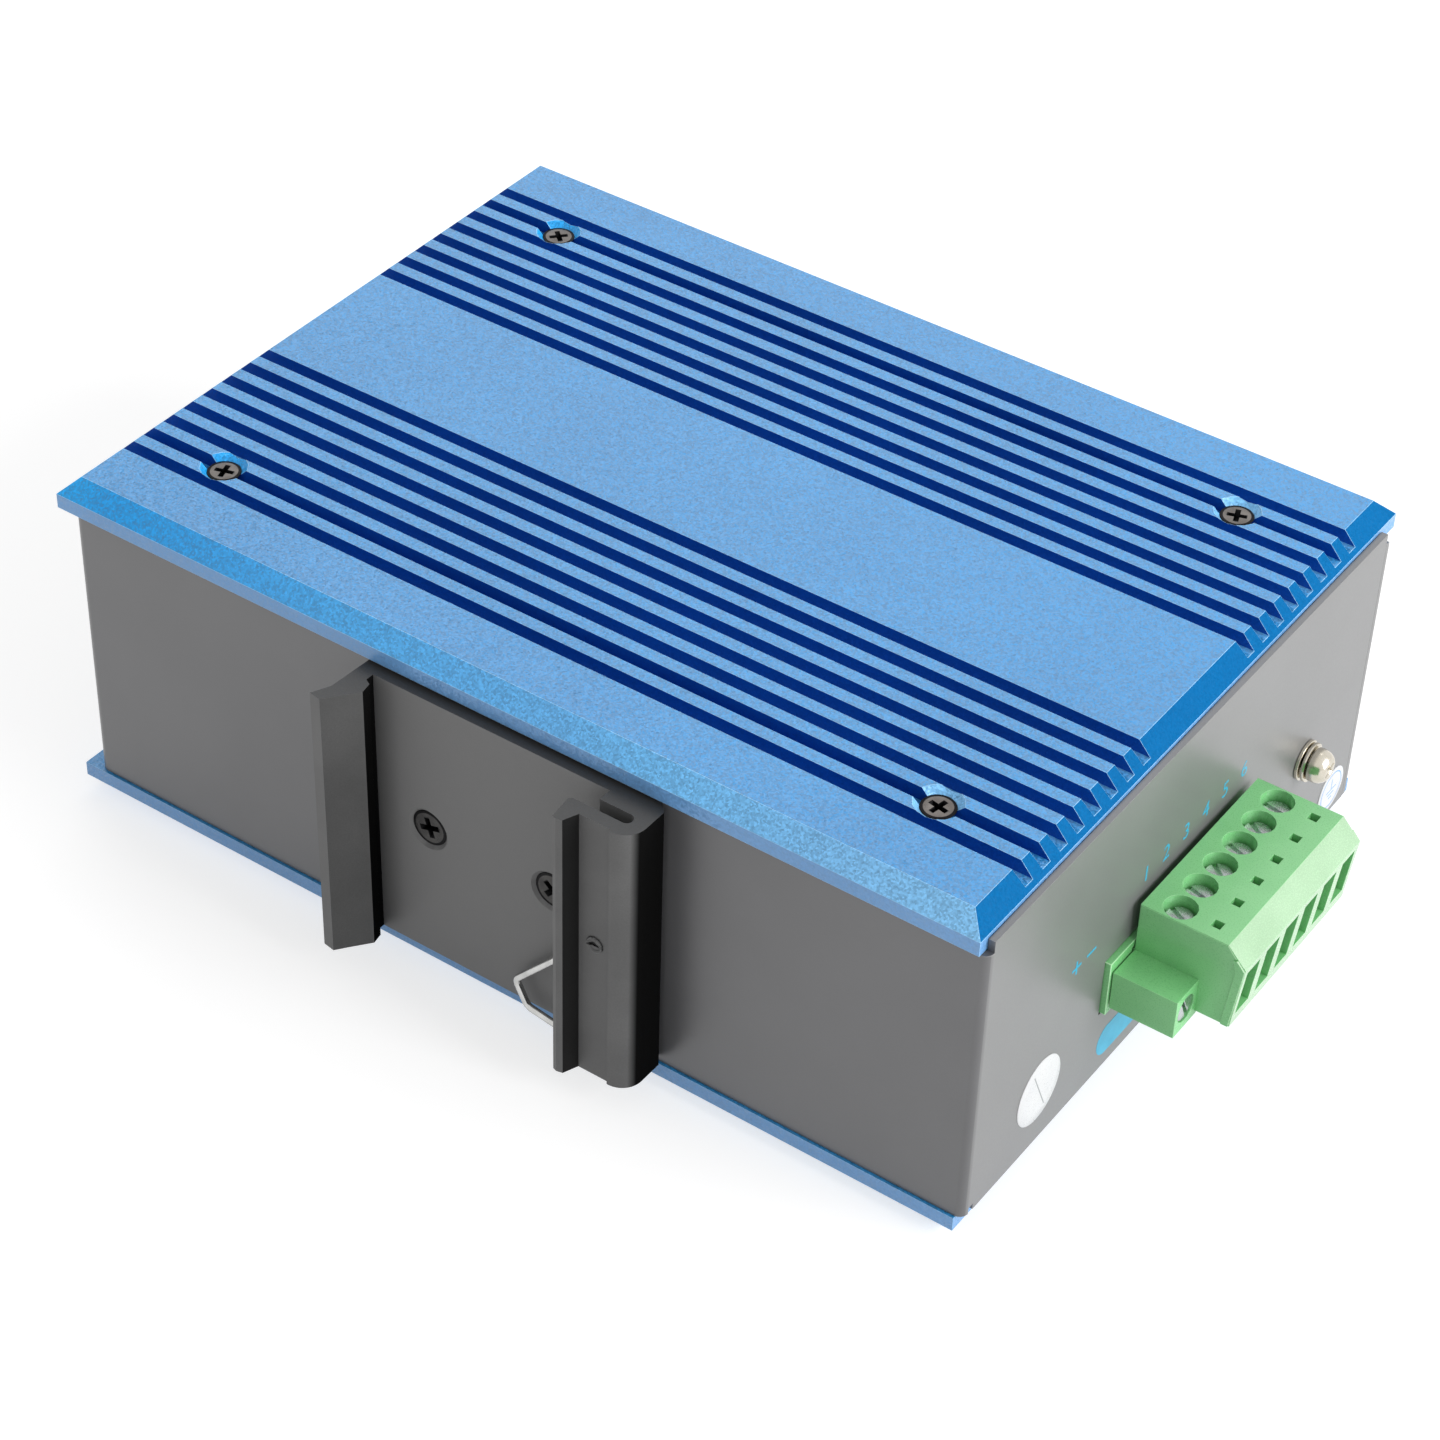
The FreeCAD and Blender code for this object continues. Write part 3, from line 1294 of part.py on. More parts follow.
# Switch chip under the board, joined to the lower cover by a pad and an aluminium block
chip_side = size("chip_side", 20.0)
chip_height = size("chip_height", 1.6)
chip_x = size("chip_x", -14.0)
chip_y = size("chip_y", -6.0)
pad_thickness = size("pad_thickness", 0.8)
spreader_side = size("spreader_side", 24.0)
chip_low = board_low - chip_height
half_chip = chip_side / 2
half_spreader = spreader_side / 2
nodes.append(block("switch_chip", chip_x - half_chip, chip_x + half_chip,
                   chip_y - half_chip, chip_y + half_chip, chip_low, board_low))
nodes.append(block("thermal_pad", chip_x - half_chip, chip_x + half_chip,
                   chip_y - half_chip, chip_y + half_chip, chip_low - pad_thickness, chip_low))
nodes.append(block("heat_spreader", chip_x - half_spreader, chip_x + half_spreader,
                   chip_y - half_spreader, chip_y + half_spreader, lower_inner, chip_low - pad_thickness))

# Board parts behind the sockets and in the power stage
magnetics_width = size("magnetics_width", 12.0)
magnetics_depth = size("magnetics_depth", 9.0)
magnetics_height = size("magnetics_height", 6.0)
magnetics_gap = size("magnetics_gap", 3.0)
magnetics = []
for column, x in enumerate(jack_columns_x()):
    magnetics.append(block("magnetics_%d" % (column + 1), x - magnetics_width / 2, x + magnetics_width / 2,
                           jack_rear - magnetics_gap - magnetics_depth, jack_rear - magnetics_gap,
                           board_top, board_top + magnetics_height))
nodes.append(group("line_transformers", magnetics))

capacitor_width = size("capacitor_width", 10.0)
capacitor_height = size("capacitor_height", 16.0)
capacitor_x = size("capacitor_x", 40.0)
capacitor_y = size("capacitor_y", -38.0)
capacitor_pitch = size("capacitor_pitch", 12.0)
capacitors = []
for index in range(4):
    capacitors.append(prism("capacitor_%d" % (index + 1), WELL_SIDES, capacitor_width, capacitor_height,
                            capacitor_x - capacitor_pitch * index, capacitor_y, board_top))
nodes.append(group("smoothing_capacitors", capacitors))

choke_side = size("choke_side", 12.5)
choke_height = size("choke_height", 7.0)
choke_x = size("choke_x", 40.0)
choke_y = size("choke_y", -18.0)
choke_pitch = size("choke_pitch", 16.0)
chokes = []
for index in range(2):
    x = choke_x - choke_pitch * index
    chokes.append(block("choke_%d" % (index + 1), x - choke_side / 2, x + choke_side / 2,
                        choke_y - choke_side / 2, choke_y + choke_side / 2,
                        board_top, board_top + choke_height))
nodes.append(group("power_chokes", chokes))

core_side = size("core_side", 20.0)
core_height = size("core_height", 15.0)
core_x = size("core_x", 40.0)
core_y = size("core_y", 4.0)
core = block("transformer_core", core_x - core_side / 2, core_x + core_side / 2,
             core_y - core_side / 2, core_y + core_side / 2, board_top, board_top + core_height)
notches = []
for side in (-1, 1):
    edge = core_x + core_side / 2 * side
    depth = core_side / 6
    notches.append(block("transformer_notch_%s" % ("left" if side < 0 else "right"),
                         edge - depth, edge + depth, core_y - core_side / 4, core_y + core_side / 4,
                         board_top - 1.0, board_top + core_height + 1.0))
nodes.append(cut("power_transformer", core, notches))

fuse_width = size("fuse_width", 8.0)
fuse_height = size("fuse_height", 7.5)
fuse_x = size("fuse_x", 62.0)
fuse_y = size("fuse_y", -33.0)
nodes.append(prism("board_fuse", WELL_SIDES, fuse_width, fuse_height, fuse_x, fuse_y, board_top))

crystal_length = size("crystal_length", 5.0)
crystal_width = size("crystal_width", 3.2)
crystal_height = size("crystal_height", 1.2)
crystal_x = size("crystal_x", -34.0)
nodes.append(block("clock_crystal", crystal_x, crystal_x + crystal_length, chip_y, chip_y + crystal_width,
                   board_low - crystal_height, board_low))

# Build, test and write every sub-part
doc.recompute()

faults = []
for item in doc.Objects:
    if "Invalid" in item.State or "Error" in item.State:
        faults.append("%s is %s" % (item.Name, item.State))
    if item.TypeId == "PartDesign::Pocket" and item.BaseFeature is not None:
        if item.Shape.Volume > item.BaseFeature.Shape.Volume - 1e-6:
            faults.append("%s cuts nothing" % item.Name)
for node in nodes:
    shape = node.Shape
    if shape.isNull() or not shape.isValid() or not shape.Solids:
        faults.append("%s has no valid solid" % node.Label)
if faults:
    raise RuntimeError("; ".join(faults))

os.makedirs("parts", exist_ok=True)
for node in nodes:
    node.Shape.exportStep("parts/%s.step" % node.Label)
print("%d sub-parts, %d solids" % (len(nodes), sum(len(node.Shape.Solids) for node in nodes)))
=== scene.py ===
import json
import math

import bmesh
import bpy
from mathutils import Matrix, Vector

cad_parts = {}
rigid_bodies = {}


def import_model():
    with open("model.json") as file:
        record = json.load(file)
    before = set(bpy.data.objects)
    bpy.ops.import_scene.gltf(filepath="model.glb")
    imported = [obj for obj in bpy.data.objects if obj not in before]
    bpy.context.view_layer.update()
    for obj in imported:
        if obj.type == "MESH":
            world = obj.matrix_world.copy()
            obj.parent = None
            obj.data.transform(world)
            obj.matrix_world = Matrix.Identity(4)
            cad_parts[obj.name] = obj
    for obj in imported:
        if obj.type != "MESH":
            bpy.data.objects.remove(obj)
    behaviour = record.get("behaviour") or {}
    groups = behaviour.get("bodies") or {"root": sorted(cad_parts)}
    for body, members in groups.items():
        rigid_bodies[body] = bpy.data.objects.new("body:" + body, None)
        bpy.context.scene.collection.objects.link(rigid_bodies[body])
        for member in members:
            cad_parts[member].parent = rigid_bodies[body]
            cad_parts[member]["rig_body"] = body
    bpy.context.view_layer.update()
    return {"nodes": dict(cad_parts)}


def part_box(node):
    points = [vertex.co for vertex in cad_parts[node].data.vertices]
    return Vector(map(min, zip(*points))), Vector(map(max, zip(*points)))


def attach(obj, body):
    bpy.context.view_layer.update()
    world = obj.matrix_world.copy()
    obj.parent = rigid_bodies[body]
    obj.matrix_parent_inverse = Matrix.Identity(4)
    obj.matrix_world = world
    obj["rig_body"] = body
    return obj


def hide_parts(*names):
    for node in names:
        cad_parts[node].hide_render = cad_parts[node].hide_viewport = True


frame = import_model()
scene = bpy.context.scene

# Camera
# One plain lens, fitted to the corners of the covers, the clip and the terminal: azimuth 34 degrees,
# elevation 39.7 degrees, turned 2 degrees about its own axis, half a metre from the object.
aim = Vector((0.00338, -0.00547, 0.01926))
azimuth = math.radians(33.99)
elevation = math.radians(39.70)
roll = math.radians(1.98)
lens = bpy.data.cameras.new("camera")
lens.sensor_width = 36
lens.lens = 90.67
lens.clip_start = 0.01
lens.clip_end = 20
camera = bpy.data.objects.new("camera", lens)
upright = Matrix.Rotation(azimuth, 4, "Z") @ Matrix.Rotation(math.pi / 2 - elevation, 4, "X")
back = upright @ Vector((0, 0, 1))
camera.matrix_world = Matrix.Translation(aim + back * 0.5) @ upright @ Matrix.Rotation(roll, 4, "Z")
scene.collection.objects.link(camera)
scene.camera = camera

# Light
# A pale surrounding for diffuse light, one soft panel from the right that lights the end wall, and one
# behind on the left that lies in the mirror direction of the upper cover. White is seen by every other ray.
scene.view_settings.view_transform = "Standard"


def node(tree, kind, inputs=None, **settings):
    """Adds a shader node. Inputs are values, or sockets of other nodes to link from."""
    item = tree.nodes.new("ShaderNode" + kind)
    for name, value in settings.items():
        setattr(item, name, value)
    for name, value in (inputs or {}).items():
        if isinstance(value, bpy.types.NodeSocket):
            tree.links.new(value, item.inputs[name])
        else:
            item.inputs[name].default_value = value
    return item


def colour(code):
    """Linear colour of an sRGB hex code."""
    parts = [int(code[i:i + 2], 16) / 255 for i in (1, 3, 5)]
    return [p / 12.92 if p <= 0.04045 else ((p + 0.055) / 1.055) ** 2.4 for p in parts] + [1.0]


def math_node(tree, operation, *values, **settings):
    """The output of a Math node. Values are numbers or sockets."""
    return node(tree, "Math", dict(enumerate(values)), operation=operation, **settings).outputs[0]


def seen_directly(tree):
    """1 for camera, glossy and transmission rays, 0 for the rays that carry diffuse light."""
    ray = node(tree, "LightPath").outputs
    first = math_node(tree, "ADD", ray["Is Camera Ray"], ray["Is Glossy Ray"])
    return math_node(tree, "ADD", first, ray["Is Transmission Ray"], use_clamp=True)


world = bpy.data.worlds.new("world")
world.use_nodes = True
scene.world = world
sky = world.node_tree
sky.nodes.clear()
soft = node(sky, "Background", {"Color": colour("#FFFFFF"), "Strength": 0.56})
white = node(sky, "Background", {"Color": colour("#FFFFFF"), "Strength": 1.0})
choice = node(sky, "MixShader", {0: seen_directly(sky), 1: soft.outputs[0], 2: white.outputs[0]})
node(sky, "OutputWorld", {"Surface": choice.outputs[0]})


def panel(name, place, target, width, height, power):
    """A soft rectangular lamp that looks at the target."""
    lamp = bpy.data.lights.new(name, "AREA")
    lamp.shape = "RECTANGLE"
    lamp.size = width
    lamp.size_y = height
    lamp.energy = power
    item = bpy.data.objects.new(name, lamp)
    way = Vector(target) - Vector(place)
    item.matrix_world = Matrix.Translation(place) @ way.to_track_quat("-Z", "Y").to_matrix().to_4x4()
    scene.collection.objects.link(item)


panel("panel_right", (0.93, 0.13, 0.44), (0, 0, 0.02), width=0.7, height=0.7, power=10.2)
panel("panel_back_left", (-0.38, 0.57, 0.76), (0, 0, 0.03), width=0.8, height=0.8, power=2.7)

# Floor
# White paper sweep, 6 m wide. It is read as white directly and keeps the soft shadow of the object.
floor_mesh = bmesh.new()
bmesh.ops.create_grid(floor_mesh, x_segments=2, y_segments=2, size=3.0)
floor_data = bpy.data.meshes.new("floor")
floor_mesh.to_mesh(floor_data)
floor_mesh.free()
floor = bpy.data.objects.new("floor", floor_data)
scene.collection.objects.link(floor)
paper = bpy.data.materials.new("white_paper_rolled")
paper.use_nodes = True
tree = paper.node_tree
tree.nodes.clear()
matt = node(tree, "BsdfDiffuse", {"Color": colour("#F2F2F2"), "Roughness": 0.6})
plain = node(tree, "Emission", {"Color": colour("#FFFFFF"), "Strength": 1.48})
share = math_node(tree, "MULTIPLY", seen_directly(tree), 0.44)
both = node(tree, "MixShader", {0: share, 1: matt.outputs[0], 2: plain.outputs[0]})
node(tree, "OutputMaterial", {"Surface": both.outputs[0]})
floor_data.materials.append(paper)

# Upper and lower cover
# 145 x 105 x 4.7 mm grooved extrusions with 2.5 mm chamfers; flats #358ECC, groove walls #0449A6 in painted
# shade.
# The mesh is the CAD node's, merged, with its edges broken by 0.15 mm. Anodised aluminium, one finish for
# each kind of face. Each cover replaces its CAD node and rides on root.
MM = 0.001
COVER_X, COVER_Y, CHAMFER = 72.5, 52.5, 2.5     # half of the covers' length and width, and their chamfer
BODY_OF = {name: item["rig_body"] for name, item in frame["nodes"].items()}


def copied(name):
    """The CAD node's mesh in millimetres, merged and without the lines inside its flat faces."""
    mesh = bmesh.new()
    mesh.from_mesh(frame["nodes"][name].data)
    bmesh.ops.scale(mesh, vec=Vector((1 / MM,) * 3), verts=mesh.verts)
    bmesh.ops.remove_doubles(mesh, verts=mesh.verts, dist=0.002)
    bmesh.ops.dissolve_limit(mesh, angle_limit=math.radians(1.0), verts=mesh.verts, edges=mesh.edges)
    return mesh


def finished(mesh, name, finish, nodes, edge=0.0, steps=2, sharp=32, rim=None, others=()):
    """Turns a mesh in millimetres into a piece that stands for CAD nodes and rides on their body.
    Only outward edges are broken; rim is the finish of the broken edges, and others follow it. The rim finish
    is a painted highlight on broken edges, or painted shade in the recesses of screws."""
    bmesh.ops.remove_doubles(mesh, verts=mesh.verts, dist=0.0005)
    bmesh.ops.recalc_face_normals(mesh, faces=mesh.faces)
    weight = mesh.edges.layers.float.new("bevel_weight_edge")
    flat, limit = math.radians(1), math.radians(sharp)
    for line in mesh.edges:
        if line.is_manifold and line.calc_face_angle_signed(0.0) > limit:
            line[weight] = 1.0
    for face in mesh.faces:
        face.smooth = any(flat < line.calc_face_angle(0.0) < limit for line in face.edges)
    bmesh.ops.scale(mesh, vec=Vector((MM,) * 3), verts=mesh.verts)
    data = bpy.data.meshes.new(name)
    mesh.to_mesh(data)
    mesh.free()
    data.set_sharp_from_angle(angle=limit)
    for each in (finish, rim, *others):
        if each:
            data.materials.append(each)
    piece = bpy.data.objects.new(name, data)
    scene.collection.objects.link(piece)
    if edge:
        soft_edge = piece.modifiers.new("broken_edge", "BEVEL")
        soft_edge.width = edge * MM
        soft_edge.segments = steps
        soft_edge.limit_method = "WEIGHT"
        soft_edge.material = 1 if rim else -1
        soft_edge.use_clamp_overlap = True
        even = piece.modifiers.new("even_normals", "WEIGHTED_NORMAL")
        even.weight = 100
        even.keep_sharp = True
    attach(piece, BODY_OF[nodes[0]])
    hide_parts(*nodes)


def from_cad(name, ending, finish, edge, steps=2, rim=None):
    """A piece that is the CAD node's own mesh with broken edges."""
    finished(copied(name), name + ending, finish, [name], edge, steps, rim=rim)


def mixed(tree, share, first, second):
    """A colour between the first and the second, each a colour or a socket."""
    return node(tree, "Mix", {0: share, 6: first, 7: second}, data_type="RGBA").outputs[2]


def surface(name, base, second, rough, spread=0.06, metal=0.0, patch=14.0, grain=0.35, mottle=0.10,
            bump=0.01, coat=0.0, coat_rough=0.3, gloss=0.5):
    """A finish with slow colour patches, fine grain in colour, roughness and height. Sizes in millimetres."""
    finish = bpy.data.materials.new(name)
    finish.use_nodes = True
    tree = finish.node_tree
    tree.nodes.clear()
    where = node(tree, "TexCoord").outputs["Object"]
    patches = node(tree, "TexNoise", {"Vector": where, "Scale": 1 / (patch * MM), "Detail": 3.0})
    fine = node(tree, "TexNoise", {"Vector": where, "Scale": 1 / (grain * MM), "Detail": 2.0,
                                   "Roughness": 0.6})
    tone = node(tree, "MapRange", {"Value": patches.outputs["Fac"], "From Min": 0.35, "From Max": 0.65})
    two = mixed(tree, tone.outputs[0], colour(base), colour(second))
    light = node(tree, "MapRange", {"Value": fine.outputs["Fac"], "From Min": 0.25, "From Max": 0.75,
                                    "To Min": 1 - mottle, "To Max": 1 + mottle})
    grained = node(tree, "HueSaturation", {"Value": light.outputs[0], "Color": two})
    worn = node(tree, "MapRange", {"Value": fine.outputs["Fac"], "From Min": 0.3, "From Max": 0.7,
                                   "To Min": rough - spread, "To Max": rough + spread})
    height = node(tree, "Bump", {"Height": fine.outputs["Fac"], "Distance": bump * MM, "Strength": 1.0})
    body = node(tree, "BsdfPrincipled", {
        "Base Color": grained.outputs[0], "Roughness": worn.outputs[0], "Metallic": metal,
        "Normal": height.outputs[0], "Coat Weight": coat, "Coat Roughness": coat_rough,
        "Specular IOR Level": gloss})
    node(tree, "OutputMaterial", {"Surface": body.outputs[0]})
    return finish


def part_of(finish, kind):
    """The first node of that kind in a finish, for what is added to it."""
    return next(item for item in finish.node_tree.nodes if item.bl_idname == "ShaderNode" + kind)


# Anodised aluminium, bead-blasted: each dent leans its own way, so single dents flash. The flats have the
# sheen of the clear film. The other faces are copies of it with painted light and shade: the chamfers deeper
# in colour, the outer bands paler, the walls of the grooves nearly navy with painted shade, the broken edges
# pale with a painted highlight.
DENT = 0.24     # size of a dent


def anodised(name, base, second, lean, flash, coat, gloss, rough=0.38):
    """A finish of dents that lean by up to half of lean and differ in brightness by flash."""
    finish = surface(name, base, second, rough, spread=0.05, patch=30.0, grain=DENT, mottle=0.035,
                     bump=0.004, coat=coat, gloss=gloss)
    tree = finish.node_tree
    where = part_of(finish, "TexCoord").outputs["Object"]
    dents = node(tree, "TexVoronoi", {"Vector": where, "Scale": 1 / (DENT * MM)}, feature="F1")
    offset = node(tree, "VectorMath", {0: dents.outputs["Color"], 1: (0.5, 0.5, 0.5)},
                  operation="SUBTRACT")
    small = node(tree, "VectorMath", {0: offset.outputs[0], "Scale": lean}, operation="SCALE")
    facing = node(tree, "NewGeometry")
    tilted = node(tree, "VectorMath", {0: facing.outputs["Normal"], 1: small.outputs[0]}, operation="ADD")
    body = part_of(finish, "BsdfPrincipled")
    height = part_of(finish, "Bump")
    tree.links.new(tilted.outputs[0], height.inputs["Normal"])
    tree.links.new(height.outputs[0], body.inputs["Coat Normal"])
    single = node(tree, "SeparateColor", {"Color": dents.outputs["Color"]})
    bright = node(tree, "MapRange", {"Value": single.outputs[0],
                                     "To Min": 1 - flash, "To Max": 1 + flash})
    glitter = node(tree, "HueSaturation", {"Value": bright.outputs[0],
                                           "Color": part_of(finish, "HueSaturation").outputs[0]})
    tree.links.new(glitter.outputs[0], body.inputs["Base Color"])
    return finish


flats = anodised("anodised_aluminium_bead_blasted", "#358ECC", "#3188C5",
                 lean=0.40, flash=0.15, coat=0.50, gloss=0.40)
# Painted highlight: a pale copy for the broken edges.
edges = anodised("anodised_aluminium_painted_edge_highlight", "#A2D6FA", "#96CCF4",
                 lean=0.30, flash=0.07, coat=0.30, gloss=0.40)
# Painted shade: a dark, dull copy for the walls of the grooves.
groove_painted_shade = anodised("anodised_aluminium_painted_groove_shade", "#0449A6", "#04429A",
                 lean=0.20, flash=0.05, coat=0.0, gloss=0.10, rough=0.50)
# Painted light: a lighter copy for the long chamfers.
long_chamfers = anodised("anodised_aluminium_long_chamfer_painted_light", "#14A6F0", "#0E9CE8",
                         lean=0.50, flash=0.17, coat=0.42, gloss=0.30)
# Painted shade: a darker copy without sheen for the end chamfers.
end_chamfers = anodised("anodised_aluminium_end_chamfer_painted_shade", "#0266A2", "#02609B",
                        lean=0.30, flash=0.06, coat=0.0, gloss=0.05, rough=0.45)
# Painted light: a paler copy for the outer bands.
bands = anodised("anodised_aluminium_band_painted_light", "#6FA4DA", "#679BD0",
                 lean=0.30, flash=0.06, coat=0.40, gloss=0.40)

# Painted sheen: the long chamfers turn paler towards the terminal's end, as if lit more there.
tree = long_chamfers.node_tree
along = node(tree, "SeparateXYZ", {"Vector": part_of(long_chamfers, "TexCoord").outputs["Object"]})
share = node(tree, "MapRange", {"Value": along.outputs[0], "From Min": -60 * MM, "From Max": 75 * MM,
                                "To Max": 0.62})
painted_sheen_to_end = mixed(tree, share.outputs[0], part_of(long_chamfers, "HueSaturation").outputs[0],
              colour("#A2D4F4"))
glitter = part_of(long_chamfers, "BsdfPrincipled").inputs["Base Color"].links[0].from_node
tree.links.new(painted_sheen_to_end, glitter.inputs["Color"])


def cover_finish(face):
    """Place of a face's finish: 0 flat, 2 wall of a groove, 3 long chamfer, 4 end chamfer, 5 outer band."""
    middle = face.calc_center_median()
    if abs(face.normal.z) > 0.9:
        return 0
    if abs(face.normal.z) < 0.1:
        in_groove = abs(middle.y) < COVER_Y - 1.5 and abs(middle.x) < COVER_X - 0.5
        return 2 if in_groove else 5
    at_end = abs(face.normal.x) > 0.6 and abs(middle.x) > COVER_X - CHAMFER
    return 4 if at_end else 3


for name in ("upper_cover", "lower_cover"):
    mesh = copied(name)
    bmesh.ops.recalc_face_normals(mesh, faces=mesh.faces)
    # Each kind of face takes its own copy, with its painted light or shade.
    for face in mesh.faces:
        face.material_index = cover_finish(face)
    finished(mesh, name + "_extrusion", flats, [name], 0.15, rim=edges,
             others=(groove_painted_shade, long_chamfers, end_chamfers, bands))

# Screws of the covers and the clip
# Countersunk M2.5 and M3 heads of 4.7 and 5.5 mm with a cross recess, nickel #625E5B, and #484746 on the
# clip's screws as painted shade. Each is one skin of rings extruded upwards: thread ridges, cone, a domed rim
# and the recess, with painted shade #1C1C1D in the recess and round the rim.
POINTS = 48     # in every ring
HEIGHT = 54.0   # over both covers


def circle(radius):
    turns = [math.tau * i / POINTS for i in range(POINTS)]
    return [(radius * math.cos(turn), radius * math.sin(turn)) for turn in turns]


def cross(reach, arm):
    """Outline of a cross recess with as many points as a circle has."""
    quarter = POINTS // 4
    half = quarter // 2
    points = []
    for turn in range(4):
        for i in range(quarter):
            if i == 0:
                x, y = reach, 0.0
            elif i <= half:
                x, y = reach + (arm - reach) * (i - 1) / (half - 1), arm
            else:
                x, y = arm, arm + (reach - arm) * (i - half) / (quarter - 1 - half)
            for _ in range(turn):
                x, y = -y, x
            points.append((x, y))
    return points


def verts_of(items):
    return [item for item in items if isinstance(item, bmesh.types.BMVert)]


def edges_within(items, verts):
    """The edges among the items that have both ends among the vertices."""
    return [item for item in items if isinstance(item, bmesh.types.BMEdge) and set(item.verts) <= verts]


def stack(mesh, rings, low_end=True, high_end=True, closed=False):
    """A skin of rings, each an outline and a height, extruded one from the other. Returns its vertices."""
    ring = bmesh.ops.create_circle(mesh, segments=len(rings[0][0]), radius=1.0)["verts"]
    edges = list({edge for vert in ring for edge in vert.link_edges})
    start, made = edges, list(ring)
    if low_end:
        bmesh.ops.contextual_create(mesh, geom=edges)
    for vert, (x, y) in zip(ring, rings[0][0]):
        vert.co = (x, y, rings[0][1])
    for outline, height in rings[1:]:
        grown = bmesh.ops.extrude_edge_only(mesh, edges=edges)["geom"]
        fresh = set(verts_of(grown))
        edges = edges_within(grown, fresh)
        ring = [next(e.other_vert(v) for e in v.link_edges if e.other_vert(v) in fresh) for v in ring]
        for vert, (x, y) in zip(ring, outline):
            vert.co = (x, y, height)
        made += ring
    if closed:
        bmesh.ops.bridge_loops(mesh, edges=edges + start)
    elif high_end:
        bmesh.ops.contextual_create(mesh, geom=edges)
    return made


TURNS = {"z": Matrix(), "-z": Matrix.Rotation(math.pi, 4, "X"),
         "x": Matrix.Rotation(math.pi / 2, 4, "Y"),
         "y": Matrix.Rotation(-math.pi / 2, 4, "X"), "-y": Matrix.Rotation(math.pi / 2, 4, "X")}


def lay(mesh, verts, place, way="z", spin=0.0):
    """Moves vertices built about the origin to a place, with their height along the given axis."""
    turn = TURNS[way] @ Matrix.Rotation(math.radians(spin), 4, "Z")
    bmesh.ops.transform(mesh, matrix=Matrix.Translation(place) @ turn, verts=verts)


def thread(radius, low, high, pitch=0.45, depth=0.16):
    """Ridges of a screw thread, from low to high."""
    rings = [(circle(radius - depth), low)]
    for i in range(int((high - low) / pitch)):
        rings.append((circle(radius), low + pitch * (i + 0.3)))
        rings.append((circle(radius - depth), low + pitch * (i + 0.8)))
    return rings


def countersunk(mesh, head, shank, length, place, way, spin):
    """A countersunk screw with its top at the place."""
    r = head / 2
    root = (head - shank) / 2
    # Painted shade: the head is near-black outside this radius.
    shade_ring = r - 0.45       # the head is black outside this radius
    recess = head * 0.29
    rings = thread(shank / 2, -length, -root - 0.3) + [
        (circle(shank / 2 - 0.05), -root), (circle(r - 0.14), -0.20), (circle(r - 0.02), -0.10),
        (circle(r - 0.06), -0.05), (circle(shade_ring), -0.01), (circle(r * 0.72), 0.0),
        (cross(recess, head * 0.080), -0.02), (cross(head * 0.26, head * 0.066), -0.10),
        (cross(head * 0.17, head * 0.05), -1.0)]
    made = stack(mesh, rings)
    for face in {face for vert in made for face in vert.link_faces}:
        middle = face.calc_center_median()
        distance = math.hypot(middle.x, middle.y)
        in_recess = distance < recess and middle.z < -0.05
        face.material_index = int(in_recess or distance > shade_ring)
    lay(mesh, made, place, way, spin)


# Nickel-plated steel, cold-formed: tumbled bright on top with faint scratches; the recess and the rim of each
# head take a near-black copy as painted shade.
NICKEL = dict(spread=0.10, metal=1.0, patch=1.6, grain=0.12, mottle=0.10, bump=0.004)
nickel = surface("nickel_plated_steel_cold_formed", "#625E5B", "#504C49", 0.34, **NICKEL)
# Painted shade: a darker copy of the nickel for the clip's screws.
shaded_nickel = surface("nickel_plated_steel_painted_shade", "#484746", "#3A3939", 0.32, **NICKEL)
# Painted shade: a near-black copy for the recesses and the rims of the heads.
recess_shade_nickel = surface("nickel_painted_recess_shade", "#1C1C1D", "#121213", 0.50, **NICKEL)


def screws(name, finish, places, way, head, shank, length):
    """One piece of countersunk screws, each turned by a different angle."""
    mesh = bmesh.new()
    for i, place in enumerate(places):
        countersunk(mesh, head, shank, length, place, way, 17 + 31 * i)
    finished(mesh, name + "_cross_head", finish, [name], sharp=40, rim=recess_shade_nickel)


COVER_SCREWS = [(x, y) for x in (-56.6, 56.6) for y in (-36.875, 36.875)]
CLIP_SCREWS_X, CLIP_MIDDLE_Z = (-8.8, 11.2), 27.0
SUNK = 0.73     # from a cover's flat face to the top of its screws
screws("upper_cover_screws", nickel, [(x, y, HEIGHT - SUNK) for x, y in COVER_SCREWS], "z",
       head=4.7, shank=2.45, length=7.5)
screws("lower_cover_screws", nickel, [(x, y, SUNK) for x, y in COVER_SCREWS], "-z",
       head=4.7, shank=2.45, length=7.5)
screws("rail_clip_screws", shaded_nickel, [(x, -53.77, CLIP_MIDDLE_Z) for x in CLIP_SCREWS_X], "-y",
       head=5.5, shank=2.9, length=5.9)

# Clinch nuts
# Round nuts of 5.6 x 1.5 mm with a knurled rim, pressed into the sheet; zinc #B4B7BB. Rings extruded upwards,
# the knurl from alternate radii. The board's screws share the finish.
END_WALL = 73.6                     # X of the outer face of the wall with the terminal
EARTH_Y, EARTH_Z = 32.2, 22.6       # of the earth screw on that wall


def knurled(radius, depth=0.10):
    """A circle with every other point drawn in by the depth."""
    factors = (1, 1 - depth / radius)
    return [(x * factors[i % 2], y * factors[i % 2]) for i, (x, y) in enumerate(circle(radius))]


